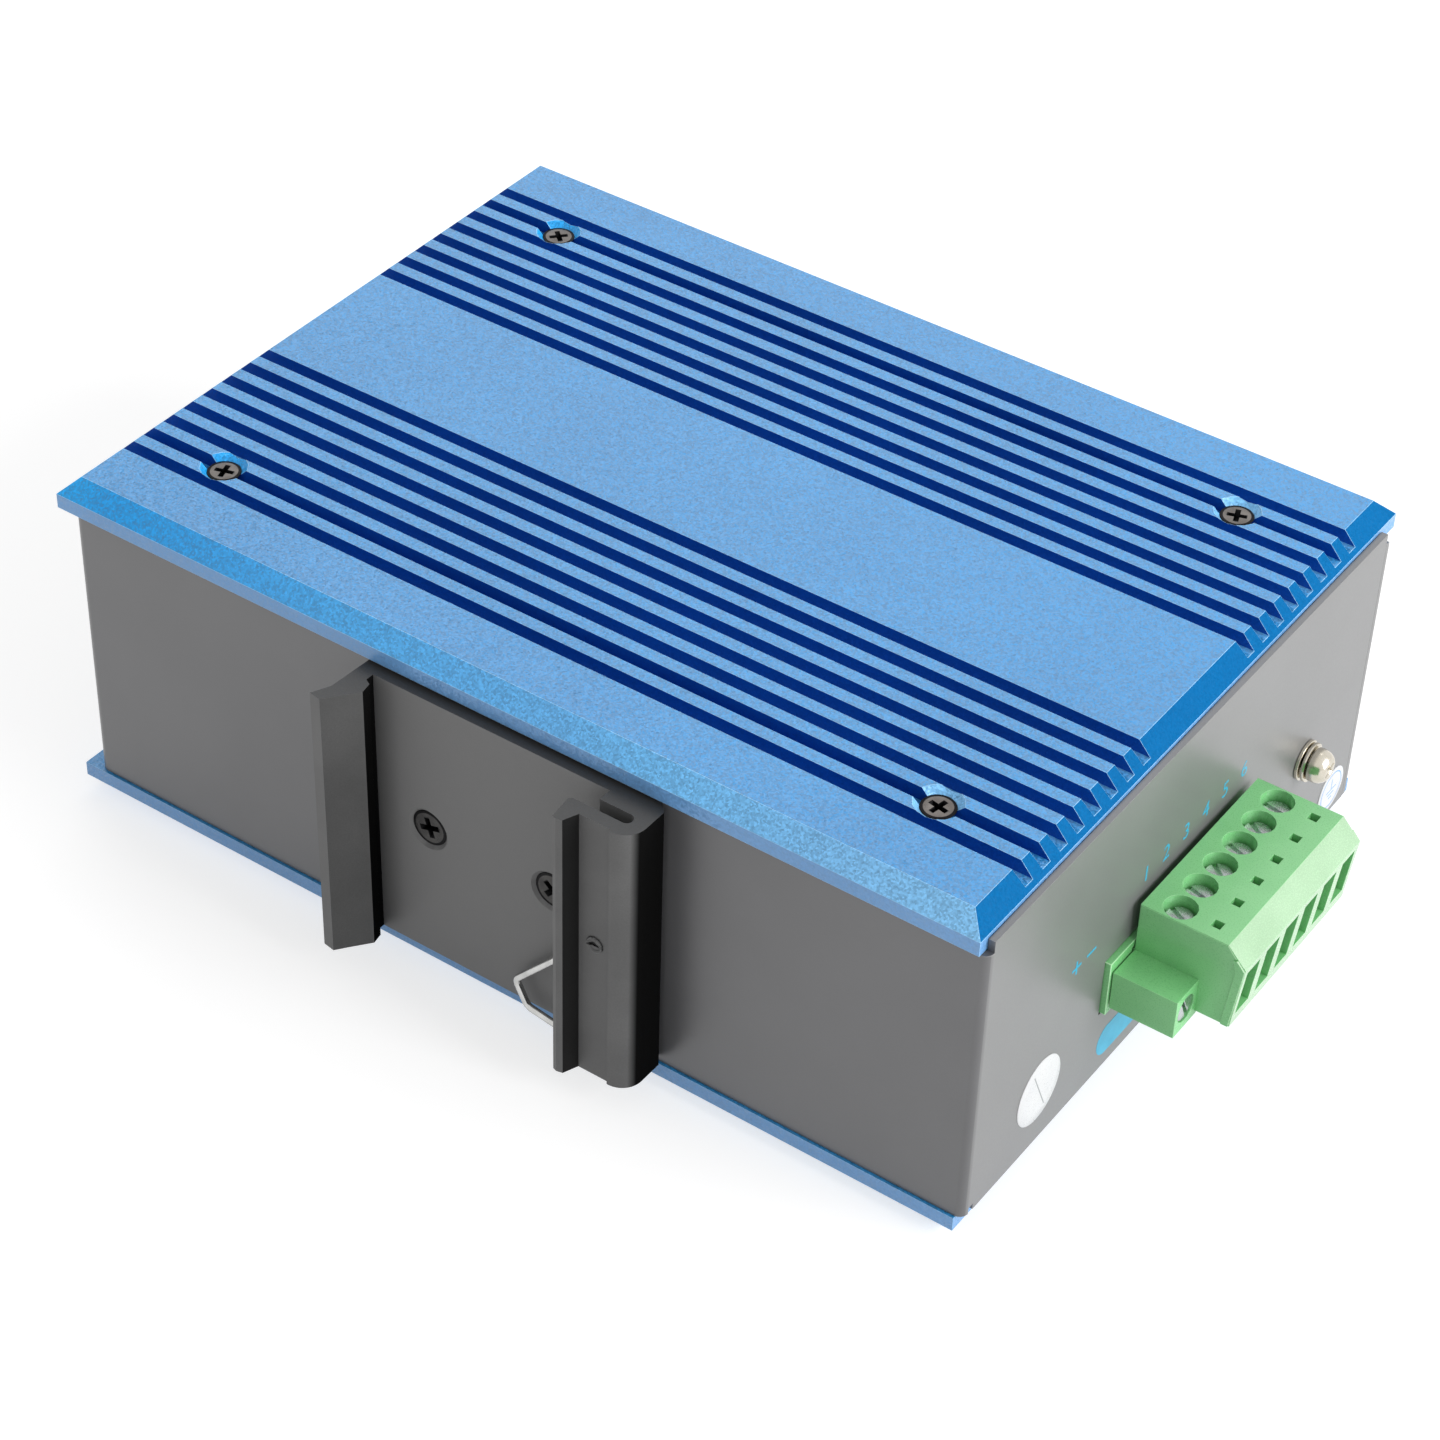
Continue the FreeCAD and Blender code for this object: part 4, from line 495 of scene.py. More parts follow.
def clinch_nut(mesh, place, way, bore):
    """A nut that stands on the sheet, its bore with two chamfers."""
    b = bore / 2
    rings = [(circle(b + 0.15), 0.0), (circle(2.62), 0.0), (knurled(2.78), 0.12),
             (knurled(2.78), 0.75), (circle(2.45), 0.85), (circle(2.40), 1.40), (circle(2.30), 1.48),
             (circle(b + 0.15), 1.48), (circle(b), 1.30), (circle(b), 0.15)]
    lay(mesh, stack(mesh, rings, low_end=False, high_end=False, closed=True), place, way)


# Zinc-plated steel, turned: pale blue-white passivation in cloudy patches over fine turning marks.
zinc = surface("zinc_plated_steel_turned", "#B4B7BB", "#A9A79C", 0.36,
               spread=0.10, metal=1.0, patch=1.2, grain=0.10, mottle=0.08, bump=0.003)


def nuts(name, places, way, bore):
    mesh = bmesh.new()
    for place in places:
        clinch_nut(mesh, place, way, bore)
    finished(mesh, name + "_knurled", zinc, [name], sharp=40)


SHEET_INSIDE = 5.81     # Z of the nuts' foot, on the case's flange above the lower cover
nuts("upper_clinch_nuts", [(x, y, HEIGHT - SHEET_INSIDE) for x, y in COVER_SCREWS], "-z", bore=2.5)
nuts("lower_clinch_nuts", [(x, y, SHEET_INSIDE) for x, y in COVER_SCREWS], "z", bore=2.5)
nuts("rail_clip_nuts", [(x, -51.09, CLIP_MIDDLE_Z) for x in CLIP_SCREWS_X], "y", bore=2.95)
nuts("earth_clinch_nut", [(END_WALL - 1.01, EARTH_Y, EARTH_Z)], "x", bore=3.05)

# Case: chassis and socket panel
# 1 mm folded sheet with 1.3 mm bends, dark grey #58585A, and #6E6E6F on the end wall as painted light. The
# meshes are the CAD nodes', merged, with edges broken by 0.15 mm. Powder-coated steel, glossy, with a fine
# orange peel.
POWDER = dict(spread=0.05, patch=26.0, grain=0.30, mottle=0.06, bump=0.006, coat=0.6, coat_rough=0.34,
              gloss=0.6)
powder = surface("steel_sheet_powder_coated", "#58585A", "#525254", 0.44, **POWDER)
# Painted highlight: a paler copy for the broken edges.
powder_edge_highlight = surface("steel_sheet_powder_coated_painted_edge_highlight", "#7E7E7E", "#767677", 0.40, **POWDER)
# Painted light: a lighter copy of the powder coat for the end wall.
powder_lit_end_wall = surface("steel_sheet_powder_coated_painted_end_wall_light", "#6E6E6F", "#686869", 0.44, **POWDER)
for finish in (powder, powder_edge_highlight, powder_lit_end_wall):
    part_of(finish, "BsdfPrincipled").inputs["Coat IOR"].default_value = 1.6
for name in ("chassis", "socket_panel"):
    mesh = copied(name)
    bmesh.ops.recalc_face_normals(mesh, faces=mesh.faces)
    for face in mesh.faces:
        # Faces of the end wall get the lighter copy, painted light.
        on_end_wall = face.normal.x > 0.9 and face.calc_center_median().x > COVER_X - 0.5
        face.material_index = 2 if on_end_wall else 0
    finished(mesh, name + "_folded_sheet", powder, [name], 0.15, rim=powder_edge_highlight,
             others=(powder_lit_end_wall,))

# Rail clip
# 49 x 43.2 mm moulding with a fixed hook and a hairpin arm, #5A5A5A, plate #6C6C6C, painted shade #121212 on
# the sides towards +X. The mesh is the CAD node's, merged, with edges broken by 0.2 mm, plus a 2.6 mm ejector
# mark on the arm. Moulded polyamide.
MOULDED = dict(patch=9.0, grain=0.22, coat=0.20, coat_rough=0.40, gloss=0.40)
moulded = surface("black_polyamide_moulded", "#5A5A5A", "#525252", 0.50,
                  mottle=0.12, bump=0.014, **MOULDED)
# Painted highlight: a paler copy for the broken edges.
moulded_edge_highlight = surface("black_polyamide_painted_edge_highlight", "#7C7C7C", "#727272", 0.44,
                      mottle=0.06, bump=0.006, **MOULDED)


def rising(tree, value, low, high, most=1.0):
    """0 up to the low value, then rising to most at the high value."""
    return node(tree, "MapRange", {"Value": value, "From Min": low, "From Max": high,
                                   "To Max": most}).outputs[0]


# Painted shade: the sides towards +X are made near-black #121212 and dull, without gloss or coat, and the
# upper ends, the faces looking up, nearly as dark. The plastic is a little paler on the plate than on the
# hooks.
for finish in (moulded, moulded_edge_highlight):
    tree = finish.node_tree
    facing = node(tree, "SeparateXYZ", {"Vector": node(tree, "NewGeometry").outputs["Normal"]}).outputs
    spot = node(tree, "SeparateXYZ", {"Vector": part_of(finish, "TexCoord").outputs["Object"]}).outputs
    side = rising(tree, facing["X"], 0.74, 0.94)
    side_and_top_shade = math_node(tree, "MAXIMUM", side, rising(tree, facing["Z"], 0.6, 0.95, 0.85))
    plate = mixed(tree, rising(tree, spot["Y"], -58 * MM, -54 * MM),
                  part_of(finish, "HueSaturation").outputs[0], colour("#6C6C6C"))
    body = part_of(finish, "BsdfPrincipled").inputs
    tree.links.new(rising(tree, side, 1.0, 0.0, MOULDED["gloss"]), body["Specular IOR Level"])
    tree.links.new(rising(tree, side, 1.0, 0.0, MOULDED["coat"]), body["Coat Weight"])
    tree.links.new(mixed(tree, side_and_top_shade, plate, colour("#121212")), body["Base Color"])
clip = copied("rail_clip")
mark = [(circle(1.30), -0.02), (circle(1.26), 0.16), (circle(1.14), 0.24), (circle(0.92), 0.22),
        (circle(0.80), 0.03), (circle(0.45), 0.04), (circle(0.25), 0.08)]
lay(clip, stack(clip, mark, low_end=False), (22.4, -59.8, 28.5), "-y")
finished(clip, "rail_clip_moulding", moulded, ["rail_clip"], 0.2, rim=moulded_edge_highlight)

# Clip spring
# 1 mm wire with two bends that bows out of the hairpin slot, #D6D6D4. The mesh is the CAD node's, merged and
# smooth, and lies 0.15 mm further out, clear of the slot's end when it is pushed in. Drawn stainless spring
# steel with a fine grain; body spring.
wire = surface("stainless_steel_wire_drawn", "#D6D6D4", "#C2C2C0", 0.22,
               metal=1.0, patch=2.0, grain=0.08, mottle=0.05, bump=0.002)
mesh = copied("rail_spring")
bmesh.ops.translate(mesh, vec=(0, -0.15, 0), verts=mesh.verts)
finished(mesh, "rail_spring_wire", wire, ["rail_spring"], sharp=50)

# Terminal plug and its header
# 30.5 x 15.4 x 13.1 mm six-pole moulding, green #82CA87 with #7AC380 patches, its front and slanted faces
# #A8CAA6 as painted sheen. The mesh is the CAD node's, merged, with edges broken by 0.12 mm, and bars on both
# side faces. Moulded polyamide, slightly glossy.
POLES, POLE_PITCH, FIRST_POLE = 6, 5.08, -12.6
TERMINAL_MIDDLE = 0.1
GREEN = dict(patch=7.0, grain=0.18, mottle=0.04)
green = surface("green_polyamide_moulded", "#82CA87", "#7AC380", 0.30, bump=0.004, **GREEN)
# Painted highlight: a paler copy for the broken edges.
green_edge_highlight = surface("green_polyamide_painted_edge_highlight", "#B6E8B5", "#ACE2AD", 0.30,
                    spread=0.05, bump=0.003, **GREEN)
# Painted sheen: a paler copy for the front and slanted faces.
green_front_sheen = surface("green_polyamide_painted_front_sheen", "#A8CAA6", "#A0C29E", 0.26,
                      bump=0.004, gloss=0.6, **GREEN)
for finish in (green, green_edge_highlight, green_front_sheen):
    body = part_of(finish, "BsdfPrincipled")
    body.inputs["Subsurface Weight"].default_value = 0.10
    body.inputs["Subsurface Radius"].default_value = (0.0010, 0.0016, 0.0010)
    body.inputs["Subsurface Scale"].default_value = 1.0
plug = copied("terminal_plug")
RIB = [(89.94, 28.25), (88.78, 18.3), (87.75, 18.3), (88.75, 27.9), (88.2, 29.4), (88.75, 29.55)]
SLAB = [(74.75, 27.6), (74.75, 31.22), (87.15, 31.22), (88.55, 29.6), (87.95, 27.6)]    # both in X and Z
for side in (-1, 1):
    side_face = TERMINAL_MIDDLE + POLES / 2 * POLE_PITCH * side
    laid = Matrix(((1, 0, 0, 0), (0, 0, side, 0), (0, 1, 0, 0), (0, 0, 0, 1)))
    for outline, proud in ((RIB, 0.28), (SLAB, 0.10)):
        made = stack(plug, [(outline, -0.05), (outline, proud)])
        bmesh.ops.transform(plug, matrix=Matrix.Translation((0, side_face, 0)) @ laid, verts=made)
bmesh.ops.recalc_face_normals(plug, faces=plug.faces)
FRONT_FROM = 86.5       # X beyond which faces that look forwards are front or slanted faces
# Front and slanted faces get the paler copy, painted sheen.
for face in plug.faces:
    in_front = face.normal.x > 0.3 and face.calc_center_median().x > FRONT_FROM
    face.material_index = 2 if in_front else 0
finished(plug, "terminal_plug_moulding", green, ["terminal_plug"], 0.12, rim=green_edge_highlight,
         others=(green_front_sheen,))
from_cad("power_header", "_moulding", green, 0.10, rim=green_edge_highlight)

# Slotted screws of the terminal
# 3.7 mm clamp screws and 3.8 mm flange screws, zinc #D0D3D6. A disc is cut by two planes, its outer parts
# rise on both sides of the slot, and the thread is a stack of ridges. Edges broken by 0.06 mm. Each clamp
# screw rides on its own body.


def slotted(mesh, head, tall, slot_width, slot_deep, shank, length, place, way, spin):
    """A slotted cheese head with its top at the place."""
    disc = bmesh.ops.create_circle(mesh, cap_ends=True, segments=POINTS, radius=head / 2)["verts"]
    for vert in disc:
        vert.co.z = -slot_deep
    for side in (-1, 1):
        own = list({f for v in disc for f in v.link_faces})
        geom = own + list({e for f in own for e in f.edges}) + list({v for f in own for v in f.verts})
        split = bmesh.ops.bisect_plane(mesh, geom=geom, plane_co=(0, side * slot_width / 2, 0),
                                       plane_no=(0, 1, 0))
        disc = list(set(verts_of(split["geom"] + split["geom_cut"])))
    faces = {f for v in disc for f in v.link_faces}
    lands = [f for f in faces if abs(f.calc_center_median().y) > slot_width / 2]
    top = verts_of(bmesh.ops.extrude_face_region(mesh, geom=lands)["geom"])
    for vert in top:
        vert.co.z = 0.0
    rim = [e for e in {e for v in disc for e in v.link_edges} if e.is_boundary]
    skirt = bmesh.ops.extrude_edge_only(mesh, edges=rim)["geom"]
    low = verts_of(skirt)
    for vert in low:
        vert.co.z = -tall
    bmesh.ops.contextual_create(mesh, geom=edges_within(skirt, set(low)))
    stem = thread(shank / 2, -length, -tall - 0.05, pitch=0.4, depth=0.13)
    stem += [(circle(shank / 2 - 0.1), -tall + 0.02)]
    lay(mesh, list({*disc, *top, *low}) + stack(mesh, stem), place, way, spin)


# Zinc-plated steel, milled slot: brighter than the turned parts, with scratches round the slot.
zinc_bright = surface("zinc_plated_steel_milled_slot", "#D0D3D6", "#BFC2C4", 0.28,
                      spread=0.09, metal=1.0, patch=0.9, grain=0.09, mottle=0.08, bump=0.003)
for i, spin in enumerate((-28, -14, -40, -20, -33, -8)):
    name = "clamp_screw_%d" % (i + 1)
    mesh = bmesh.new()
    slotted(mesh, head=3.66, tall=0.8, slot_width=0.6, slot_deep=0.5, shank=2.2, length=6.85,
            place=(78.9, FIRST_POLE + POLE_PITCH * i, 29.74), way="z", spin=spin)
    finished(mesh, name + "_slotted", zinc_bright, [name], 0.06, 1)
mesh = bmesh.new()
for side, spin in ((-1, 24), (1, 71)):
    slotted(mesh, head=3.8, tall=3.0, slot_width=0.6, slot_deep=0.9, shank=2.4, length=14.2,
            place=(83.69, TERMINAL_MIDDLE + 17.9 * side, 20.6), way="x", spin=spin)
finished(mesh, "flange_screws_slotted", zinc_bright, ["flange_screws"], 0.06, 1)

# Metal inside the terminal
# Cages of 5 x 3.5 x 6.2 mm, contact strips, header pins and threaded sleeves; tin #C6C4BC over brass. CAD
# meshes, merged, edges broken by 0.10 mm on the cages and 0.05 mm elsewhere. Each cage rides on its own body.
tinned = surface("tinned_brass_stamped", "#C6C4BC", "#B5B09F", 0.33,
                 spread=0.09, metal=1.0, patch=1.5, grain=0.12, mottle=0.08, bump=0.003)
for i in range(POLES):
    from_cad("clamp_cage_%d" % (i + 1), "_folded", tinned, 0.10)
for name in ("contact_strips", "header_pins", "header_inserts"):
    from_cad(name, "_stamped", tinned, 0.05, 1)

# Earth screw with its washers
# Pan head of 5.0 x 2.5 mm with a cross recess, a split spring washer and a flat washer, nickel #D9D3C6. Rings
# extruded along X; the spring washer is one turned section, its ends 0.2 mm apart.
nickel_bright = surface("nickel_plated_steel_tumbled", "#D9D3C6", "#CFC8B8", 0.20,
                        spread=0.07, metal=1.0, patch=2.2, grain=0.10, mottle=0.06, bump=0.003)
mesh = bmesh.new()
head = [(circle(1.35), -0.02), (circle(2.30), 0.0), (circle(2.46), 0.12), (circle(2.48), 0.60),
        (circle(2.42), 1.15), (circle(2.24), 1.70), (circle(1.92), 2.15), (circle(1.60), 2.40),
        (circle(1.42), 2.46), (cross(1.24, 0.36), 2.44), (cross(1.10, 0.30), 2.30),
        (cross(0.72, 0.22), 1.20)]
stem = thread(1.45, -5.95, -0.05, pitch=0.5, depth=0.18)
lay(mesh, stack(mesh, stem + head), (END_WALL + 1.52, EARTH_Y, EARTH_Z), "x", 38)
finished(mesh, "earth_screw_pan_head", nickel_bright, ["earth_screw"], sharp=40)
mesh = bmesh.new()
ring = [(circle(1.65), 0.0), (circle(2.82), 0.0), (circle(2.96), 0.12), (circle(2.96), 0.48),
        (circle(2.82), 0.58), (circle(1.75), 0.58), (circle(1.65), 0.50)]
lay(mesh, stack(mesh, ring, low_end=False, high_end=False, closed=True),
    (END_WALL + 0.01, EARTH_Y, EARTH_Z), "x")
finished(mesh, "earth_flat_washer_stamped", nickel_bright, ["earth_flat_washer"], sharp=40)
mesh = bmesh.new()
section = bmesh.ops.create_circle(mesh, cap_ends=True, segments=16, radius=1.0)["verts"]
for vert in section:
    x, y = vert.co.x, vert.co.y
    scale = 1 / max(abs(x), abs(y)) ** 0.75
    vert.co = (2.26 + 0.60 * x * scale, 0.0, 0.40 + 0.26 * y * scale)
STEPS, RISE = 44, 0.2
bmesh.ops.spin(mesh, geom=list(mesh.verts) + list(mesh.edges) + list(mesh.faces), cent=(0, 0, 0),
               axis=(0, 0, 1), dvec=(0, 0, RISE / STEPS), angle=math.radians(346), steps=STEPS,
               use_merge=False)
lay(mesh, list(mesh.verts), (END_WALL + 0.61, EARTH_Y, EARTH_Z), "x", 60)
finished(mesh, "earth_spring_washer_split", nickel_bright, ["earth_spring_washer"],
         sharp=40)

# Round labels
# Discs of 10.2 and 7.3 mm, 0.12 mm thick. The larger is white #D2D3D4 with one grey stroke #85888B, the
# smaller #D6D9DE with an earth mark #6F9FD6 in a ring. Rings with a rounded rim; glossy printed film.


def film(name, y, z, radius, finish):
    """A disc on the end wall."""
    mesh = bmesh.new()
    rings = [(circle(radius), 0.0), (circle(radius), 0.07), (circle(radius - 0.05), 0.11),
             (circle(radius * 0.66), 0.115), (circle(radius * 0.33), 0.115)]
    lay(mesh, stack(mesh, rings), (END_WALL, y, z), "x")
    finished(mesh, name + "_film", finish, [name], sharp=40)


def label_finish(name, base, ink, y, z, drawing):
    """Printed film: the drawing gives a mask from the offsets from y and z, all in millimetres."""
    finish = surface(name, base, "#CDCED0", 0.30, spread=0.04, patch=4.0, grain=0.15, mottle=0.015,
                     bump=0.002)
    tree = finish.node_tree
    where = part_of(finish, "TexCoord").outputs["Object"]
    shifted = node(tree, "Mapping", {"Vector": where, "Location": (0, -y, -z), "Scale": (1 / MM,) * 3})
    axes = node(tree, "SeparateXYZ", {"Vector": shifted.outputs[0]})
    mask = drawing(tree, axes.outputs["Y"], axes.outputs["Z"])
    inked = mixed(tree, mask, part_of(finish, "HueSaturation").outputs[0], colour(ink))
    tree.links.new(inked, part_of(finish, "BsdfPrincipled").inputs["Base Color"])
    return finish


def inside(tree, value, half):
    """1 where the value is within half of nought, with a soft edge of 0.04 mm."""
    size = math_node(tree, "ABSOLUTE", value)
    return node(tree, "MapRange", {"Value": size, "From Min": half - 0.04, "From Max": half + 0.04,
                                   "To Min": 1.0, "To Max": 0.0}).outputs[0]


def times(tree, first, second):
    return math_node(tree, "MULTIPLY", first, second)


def one_stroke(tree, y, z):
    """A slanted line through the middle, 7.6 mm long and 0.18 mm wide."""
    across = math_node(tree, "ADD", times(tree, y, 0.91), times(tree, z, 0.42))
    along = math_node(tree, "SUBTRACT", times(tree, y, 0.42), times(tree, z, 0.91))
    return times(tree, inside(tree, across, 0.09), inside(tree, along, 3.8))


def earth_mark(tree, y, z):
    """A ring round one upright bar and three level bars of falling length."""
    square = math_node(tree, "ADD", times(tree, y, y), times(tree, z, z))
    mask = inside(tree, math_node(tree, "SUBTRACT", math_node(tree, "SQRT", square), 2.9), 0.11)
    upright, level = (0.95, 0.12, 0.95), ((0.0, 1.45, 0.12), (-0.7, 0.95, 0.12), (-1.4, 0.45, 0.12))
    for middle_z, half_y, half_z in (upright, *level):
        off_bar = math_node(tree, "SUBTRACT", z, middle_z)
        bar = times(tree, inside(tree, y, half_y), inside(tree, off_bar, half_z))
        mask = math_node(tree, "MAXIMUM", mask, bar)
    return mask


for name, y, z, radius, finish_name, base, mark, drawing in (
        ("check_label", -35.5, 14.1, 5.1,
         "printed_film_die_cut", "#D2D3D4", "#85888B", one_stroke),
        ("earth_label", 43.6, 9.3, 3.65,
         "printed_film_die_cut_earth_mark", "#D6D9DE", "#6F9FD6", earth_mark)):
    film(name, y, z, radius, label_finish(finish_name, base, mark, y, z, drawing))

# Printing on the end wall
# Plain pole numbers 1 to 6, a plus and a minus beside them, and a bare rounded bar below the terminal;
# #3BA9CC. Flat skins 0.02 mm thick made from text and from rings. Screen-printed ink; they replace nothing
# and ride on root.
THICK = 0.02
FONT_SIZE = 1.4     # over the height of its figures
ink = surface("screen_printed_ink", "#3BA9CC", "#339FC2", 0.42,
              spread=0.05, patch=2.0, grain=0.12, mottle=0.05, bump=0.002)


def printed(name, words, y, z, tall):
    """Flat figures on the end wall, read from +X."""
    data = bpy.data.curves.new(name, "FONT")
    data.body = words
    data.size = tall * FONT_SIZE * MM
    data.align_x = "CENTER"
    data.align_y = "CENTER"
    source = bpy.data.objects.new(name, data)
    scene.collection.objects.link(source)
    bpy.context.view_layer.update()
    state = bpy.context.evaluated_depsgraph_get()
    ready = bpy.data.meshes.new_from_object(source.evaluated_get(state))
    bpy.data.objects.remove(source)
    mesh = bmesh.new()
    mesh.from_mesh(ready)
    bmesh.ops.scale(mesh, vec=Vector((1 / MM,) * 3), verts=mesh.verts)
    bmesh.ops.remove_doubles(mesh, verts=mesh.verts, dist=0.001)
    thick = bmesh.ops.extrude_face_region(mesh, geom=list(mesh.faces))["geom"]
    bmesh.ops.translate(mesh, vec=(0, 0, THICK), verts=verts_of(thick))
    upright = Matrix.Rotation(math.pi / 2, 4, "Z") @ Matrix.Rotation(math.pi / 2, 4, "X")
    bmesh.ops.transform(mesh, matrix=Matrix.Translation((END_WALL, y, z)) @ upright, verts=mesh.verts)
    return mesh


def add_print(mesh, name):
    bmesh.ops.recalc_face_normals(mesh, faces=mesh.faces)
    bmesh.ops.scale(mesh, vec=Vector((MM,) * 3), verts=mesh.verts)
    data = bpy.data.meshes.new(name)
    mesh.to_mesh(data)
    mesh.free()
    data.materials.append(ink)
    piece = bpy.data.objects.new(name, data)
    scene.collection.objects.link(piece)
    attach(piece, "root")


for i in range(POLES):
    name = "pole_number_%d" % (i + 1)
    add_print(printed(name, str(i + 1), FIRST_POLE + POLE_PITCH * i, 34.0, 2.6), name + "_print")
for sign, y, name in (("+", -29.0, "plus_print"), ("−", -25.4, "minus_print")):
    add_print(printed(name, sign, y, 30.0, 3.4), name)
bar = bmesh.new()
half_long, half_tall = 20.5, 2.5
outline = []
for x, y in circle(half_tall):
    way = 1 if y > -1e-6 else -1
    outline.append((x, y + way * (half_long - half_tall)))
lay(bar, stack(bar, [(outline, 0.0), (outline, THICK)]), (END_WALL, 0.0, 9.5), "x")
add_print(bar, "bare_bar_print")

# Circuit board and what stands on it
# 1.6 mm laminate, solder mask #1E5A39 with #2F7A50 tracks from a brick pattern of 5.4 x 1.3 mm; CAD mesh,
# merged, edges broken by 0.08 mm. Hexagonal stand-offs and pan-head screws are rings extruded upwards, zinc.
board = surface("epoxy_glass_solder_masked", "#1E5A39", "#245F3F", 0.34,
                patch=10.0, grain=0.30, mottle=0.06, bump=0.004, coat=0.3, coat_rough=0.15)
tree = board.node_tree
where = part_of(board, "TexCoord").outputs["Object"]
tracks = node(tree, "TexBrick", {
    "Vector": where, "Scale": 1 / (6.0 * MM), "Color1": (0, 0, 0, 1), "Color2": (0.25, 0.25, 0.25, 1),
    "Mortar": (1, 1, 1, 1), "Mortar Size": 0.035, "Brick Width": 0.9, "Row Height": 0.22})
over = mixed(tree, tracks.outputs["Fac"], part_of(board, "HueSaturation").outputs[0], colour("#2F7A50"))
tree.links.new(over, part_of(board, "BsdfPrincipled").inputs["Base Color"])
from_cad("circuit_board", "_laminate", board, 0.08, 1)
BOARD_TOP = 16.0


def hexagon(width):
    """A six-sided outline, its flats the width apart, with as many points as a circle has."""
    points = []
    for i in range(POINTS):
        turn = math.tau * i / POINTS
        near = (turn % (math.tau / 6)) - math.tau / 12
        radius = width / 2 / math.cos(near)
        points.append((radius * math.cos(turn), radius * math.sin(turn)))
    return points


low, high = (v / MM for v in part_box("board_screws"))
head_radius = 2.9
spots = [(x, y) for x in (low.x + head_radius, high.x - head_radius)
         for y in (low.y + head_radius, high.y - head_radius)]
mesh = bmesh.new()
rings = [(circle(1.7), 5.82), (circle(2.1), 5.82), (circle(2.25), 5.95), (hexagon(4.3), 6.3),
         (hexagon(4.3), 13.9), (circle(2.0), 14.35), (circle(1.3), 14.38), (circle(1.2), 14.1),
         (circle(1.2), 8.0)]
for x, y in spots:
    lay(mesh, stack(mesh, rings), (x, y, 0))
finished(mesh, "board_standoffs_hexagonal", zinc, ["board_standoffs"], sharp=28)
mesh = bmesh.new()
rings = thread(1.15, 14.42, 15.95, pitch=0.4, depth=0.12) + [
    (circle(1.3), BOARD_TOP), (circle(2.62), BOARD_TOP + 0.02), (circle(2.8), 16.15),
    (circle(2.78), 16.7), (circle(2.5), 17.35), (circle(2.0), 17.68), (circle(1.6), 17.76),
    (cross(1.25, 0.34), 17.74), (cross(0.8, 0.24), 16.7)]
for i, (x, y) in enumerate(spots):
    lay(mesh, stack(mesh, rings), (x, y, 0), "z", 23 * i)
finished(mesh, "board_screws_pan_head", zinc, ["board_screws"], sharp=40)

# Socket block
# 56.6 x 26.6 mm tinned shield #B9BBBC, black insert #222224 and 64 gilt contact wires #D8B154. CAD meshes,
# merged, edges broken by 0.06 to 0.10 mm.
shield = surface("tinned_steel_stamped", "#B9BBBC", "#A9ABAC", 0.30,
                 spread=0.08, metal=1.0, patch=5.0, grain=0.12, mottle=0.06, bump=0.003)
insert = surface("black_polyester_moulded", "#222224", "#1B1B1D", 0.44,
                 patch=4.0, grain=0.20, mottle=0.08, bump=0.005)
gilt = surface("gilt_bronze_wire_drawn", "#D8B154", "#C99F45", 0.24,
               spread=0.07, metal=1.0, patch=1.0, grain=0.08, mottle=0.06, bump=0.002)
from_cad("jack_shield", "_stamped", shield, 0.06, 1)
from_cad("jack_insert", "_moulded", insert, 0.10, 1)
from_cad("jack_contacts", "_wires", gilt, 0.08, 1)

# Lamps and light pipes
# Ten 2 mm lamps of milky resin #E6E2CC on the board and ten bent clear pipes of 2 x 2 mm, #F4F6F5. CAD
# meshes, merged, edges broken by 0.15 mm.
resin = surface("milky_resin_cast", "#E6E2CC", "#DAD5B8", 0.35,
                spread=0.05, patch=1.0, grain=0.12, mottle=0.04, bump=0.003, coat=0.3, coat_rough=0.1)
clear = surface("clear_acrylic_moulded", "#F4F6F5", "#EDF1F0", 0.10,
                spread=0.04, patch=3.0, grain=0.20, mottle=0.02, bump=0.002)
body = part_of(clear, "BsdfPrincipled").inputs
body["Transmission Weight"].default_value = 0.85
body["IOR"].default_value = 1.49
from_cad("status_lamps", "_cast", resin, 0.15)
from_cad("light_pipes", "_bent", clear, 0.15)

# Chips and their cooling
# Switch chip, 20 mm over its 80 leads, under the board #262628, its grey pad #8E9296, the aluminium block
# to the lower cover #B9BBBD and the crystal can #BFC0C0. The chip is made of stepped rings and boxes, the
# rest of CAD meshes, edges broken by 0.15 to 0.4 mm.
mould = surface("black_epoxy_moulded", "#262628", "#1F1F21", 0.52,
                spread=0.05, patch=3.0, grain=0.15, mottle=0.06, bump=0.006)
gum = surface("grey_silicone_cast", "#8E9296", "#84888C", 0.66,
              spread=0.05, patch=3.0, grain=0.25, mottle=0.05)
bare = surface("aluminium_extruded_sawn", "#B9BBBD", "#ABADAF", 0.38,
               spread=0.07, metal=1.0, patch=6.0, grain=0.14, mottle=0.07, bump=0.004)
can = surface("steel_can_drawn", "#BFC0C0", "#AFB0B0", 0.26,
              spread=0.07, metal=1.0, patch=1.5, grain=0.10, mottle=0.05, bump=0.002)


def rectangle(half_x, half_y, corner=0.4):
    """A rectangle with cut corners and as many points as a circle has."""
    points = []
    for i in range(POINTS):
        turn = math.tau * (i + 0.5) / POINTS
        x, y = math.cos(turn), math.sin(turn)
        scale = min(half_x / abs(x), half_y / abs(y), (half_x + half_y - corner) / (abs(x) + abs(y)))
        points.append((x * scale, y * scale))
    return points


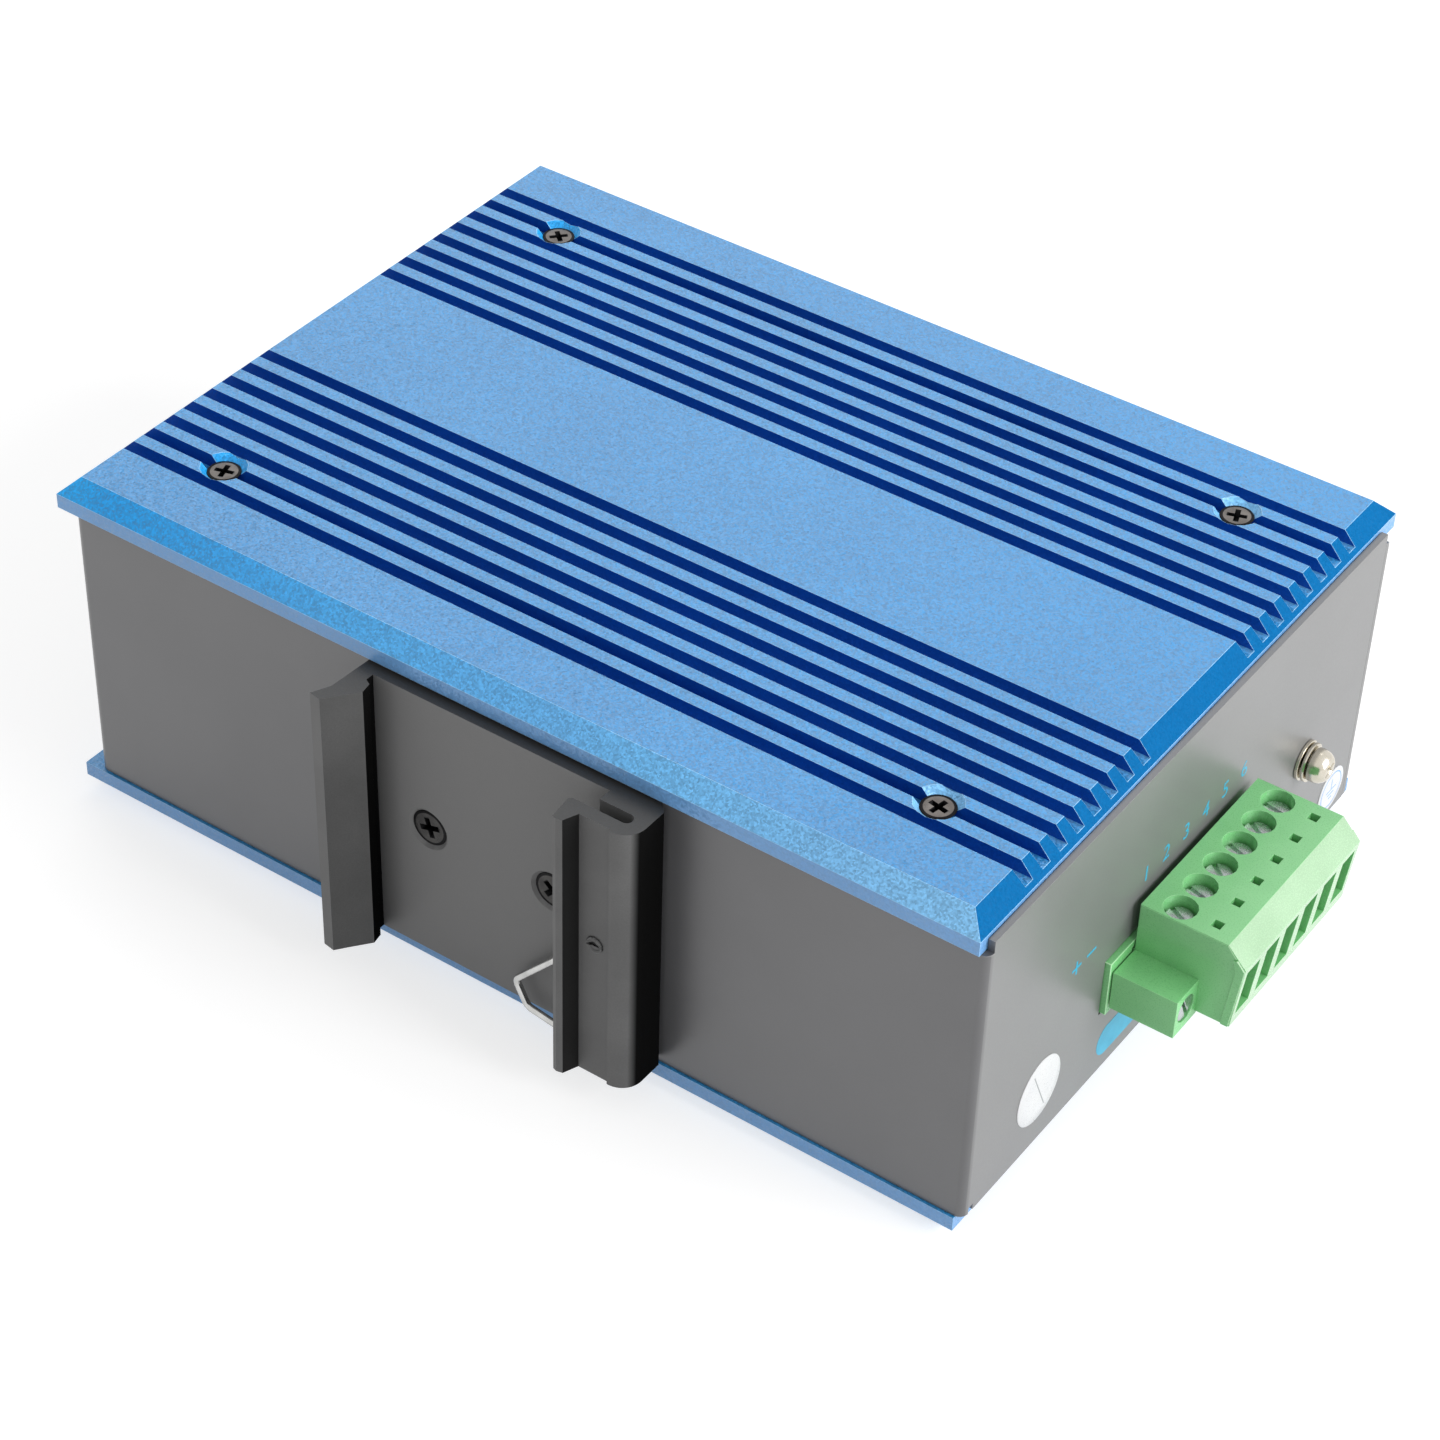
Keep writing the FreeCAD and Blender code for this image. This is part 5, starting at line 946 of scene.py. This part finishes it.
def block(mesh, x0, x1, y0, y1, z0, z1):
    """A box from the lower to the higher value on each axis."""
    verts = bmesh.ops.create_cube(mesh, size=1.0)["verts"]
    bmesh.ops.scale(mesh, vec=(x1 - x0, y1 - y0, z1 - z0), verts=verts)
    bmesh.ops.translate(mesh, vec=((x0 + x1) / 2, (y0 + y1) / 2, (z0 + z1) / 2), verts=verts)


CHIP_X, CHIP_Y = -14.0, -6.0
LEADS, LEAD_PITCH, HALF_LEAD = 20, 0.8, 0.15    # on each of the four sides
mesh = bmesh.new()
shape = [(rectangle(9.0, 9.0), -0.60), (rectangle(9.1, 9.1), -0.15), (rectangle(9.1, 9.1), 0.15),
         (rectangle(8.9, 8.9), 0.78), (rectangle(7.6, 7.6), 0.78), (rectangle(7.5, 7.5), 0.74)]
lay(mesh, stack(mesh, shape), (CHIP_X, CHIP_Y, 13.6), "-z")
for i in range(LEADS):
    spot = LEAD_PITCH * (i - (LEADS - 1) / 2)
    for side in (-1, 1):
        low, high = sorted((side * 8.9, side * 9.95))
        block(mesh, CHIP_X + spot - HALF_LEAD, CHIP_X + spot + HALF_LEAD,
              CHIP_Y + low, CHIP_Y + high, 13.9, 14.38)
        block(mesh, CHIP_X + low, CHIP_X + high,
              CHIP_Y + spot - HALF_LEAD, CHIP_Y + spot + HALF_LEAD, 13.9, 14.38)
finished(mesh, "switch_chip_with_leads", mould, ["switch_chip"], sharp=30)
from_cad("thermal_pad", "_cut", gum, 0.15)
from_cad("heat_spreader", "_sawn", bare, 0.4)
from_cad("clock_crystal", "_can", can, 0.35, 3)

# Wound and sleeved parts
# Line transformers #262628, chokes and power transformer of ferrite #3E3E40, four sleeved capacitors
# #2A2C33 and the fuse. Rings for the cans, with a crimp and a vent cross, and for the fuse; CAD meshes
# elsewhere, edges broken by 0.3 to 0.5 mm.
sleeve = surface("shrink_sleeved_can", "#2A2C33", "#24262C", 0.32,
                 spread=0.05, patch=4.0, grain=0.15, mottle=0.04, bump=0.003, coat=0.3, coat_rough=0.15)
ferrite = surface("ferrite_pressed", "#3E3E40", "#353537", 0.62, patch=2.5, grain=0.14)
from_cad("line_transformers", "_moulded", mould, 0.3)
from_cad("power_chokes", "_pressed", ferrite, 0.5)
from_cad("power_transformer", "_pressed", ferrite, 0.4)
low, high = (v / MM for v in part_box("smoothing_capacitors"))
CANS = 4
r = (high.y - low.y) / 2
gap = (high.x - low.x - r * 2) / (CANS - 1)
rings = [(circle(r - 0.5), BOARD_TOP + 0.02), (circle(r - 0.05), 16.4), (circle(r - 0.05), 17.3),
         (circle(r - 0.55), 17.7), (circle(r - 0.05), 18.2), (circle(r - 0.05), 31.4),
         (circle(r - 0.45), 31.9), (circle(r - 1.0), 31.8), (cross(3.0, 0.2), 31.8),
         (cross(2.9, 0.12), 31.65)]
mesh = bmesh.new()
for i in range(CANS):
    lay(mesh, stack(mesh, rings), (low.x + r + gap * i, (low.y + high.y) / 2, 0), "z", 45)
finished(mesh, "smoothing_capacitors_sleeved", sleeve, ["smoothing_capacitors"], sharp=35)
low, high = (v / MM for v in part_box("board_fuse"))
r = (high.x - low.x) / 2
rings = [(circle(r - 0.3), BOARD_TOP + 0.02), (circle(r - 0.05), 16.3), (circle(r - 0.05), 22.9),
         (circle(r - 0.4), 23.4), (circle(r - 1.2), 23.45), (circle(r - 1.3), 23.3)]
mesh = bmesh.new()
lay(mesh, stack(mesh, rings), ((low.x + high.x) / 2, (low.y + high.y) / 2, 0))
finished(mesh, "board_fuse_moulded", mould, ["board_fuse"], sharp=35)
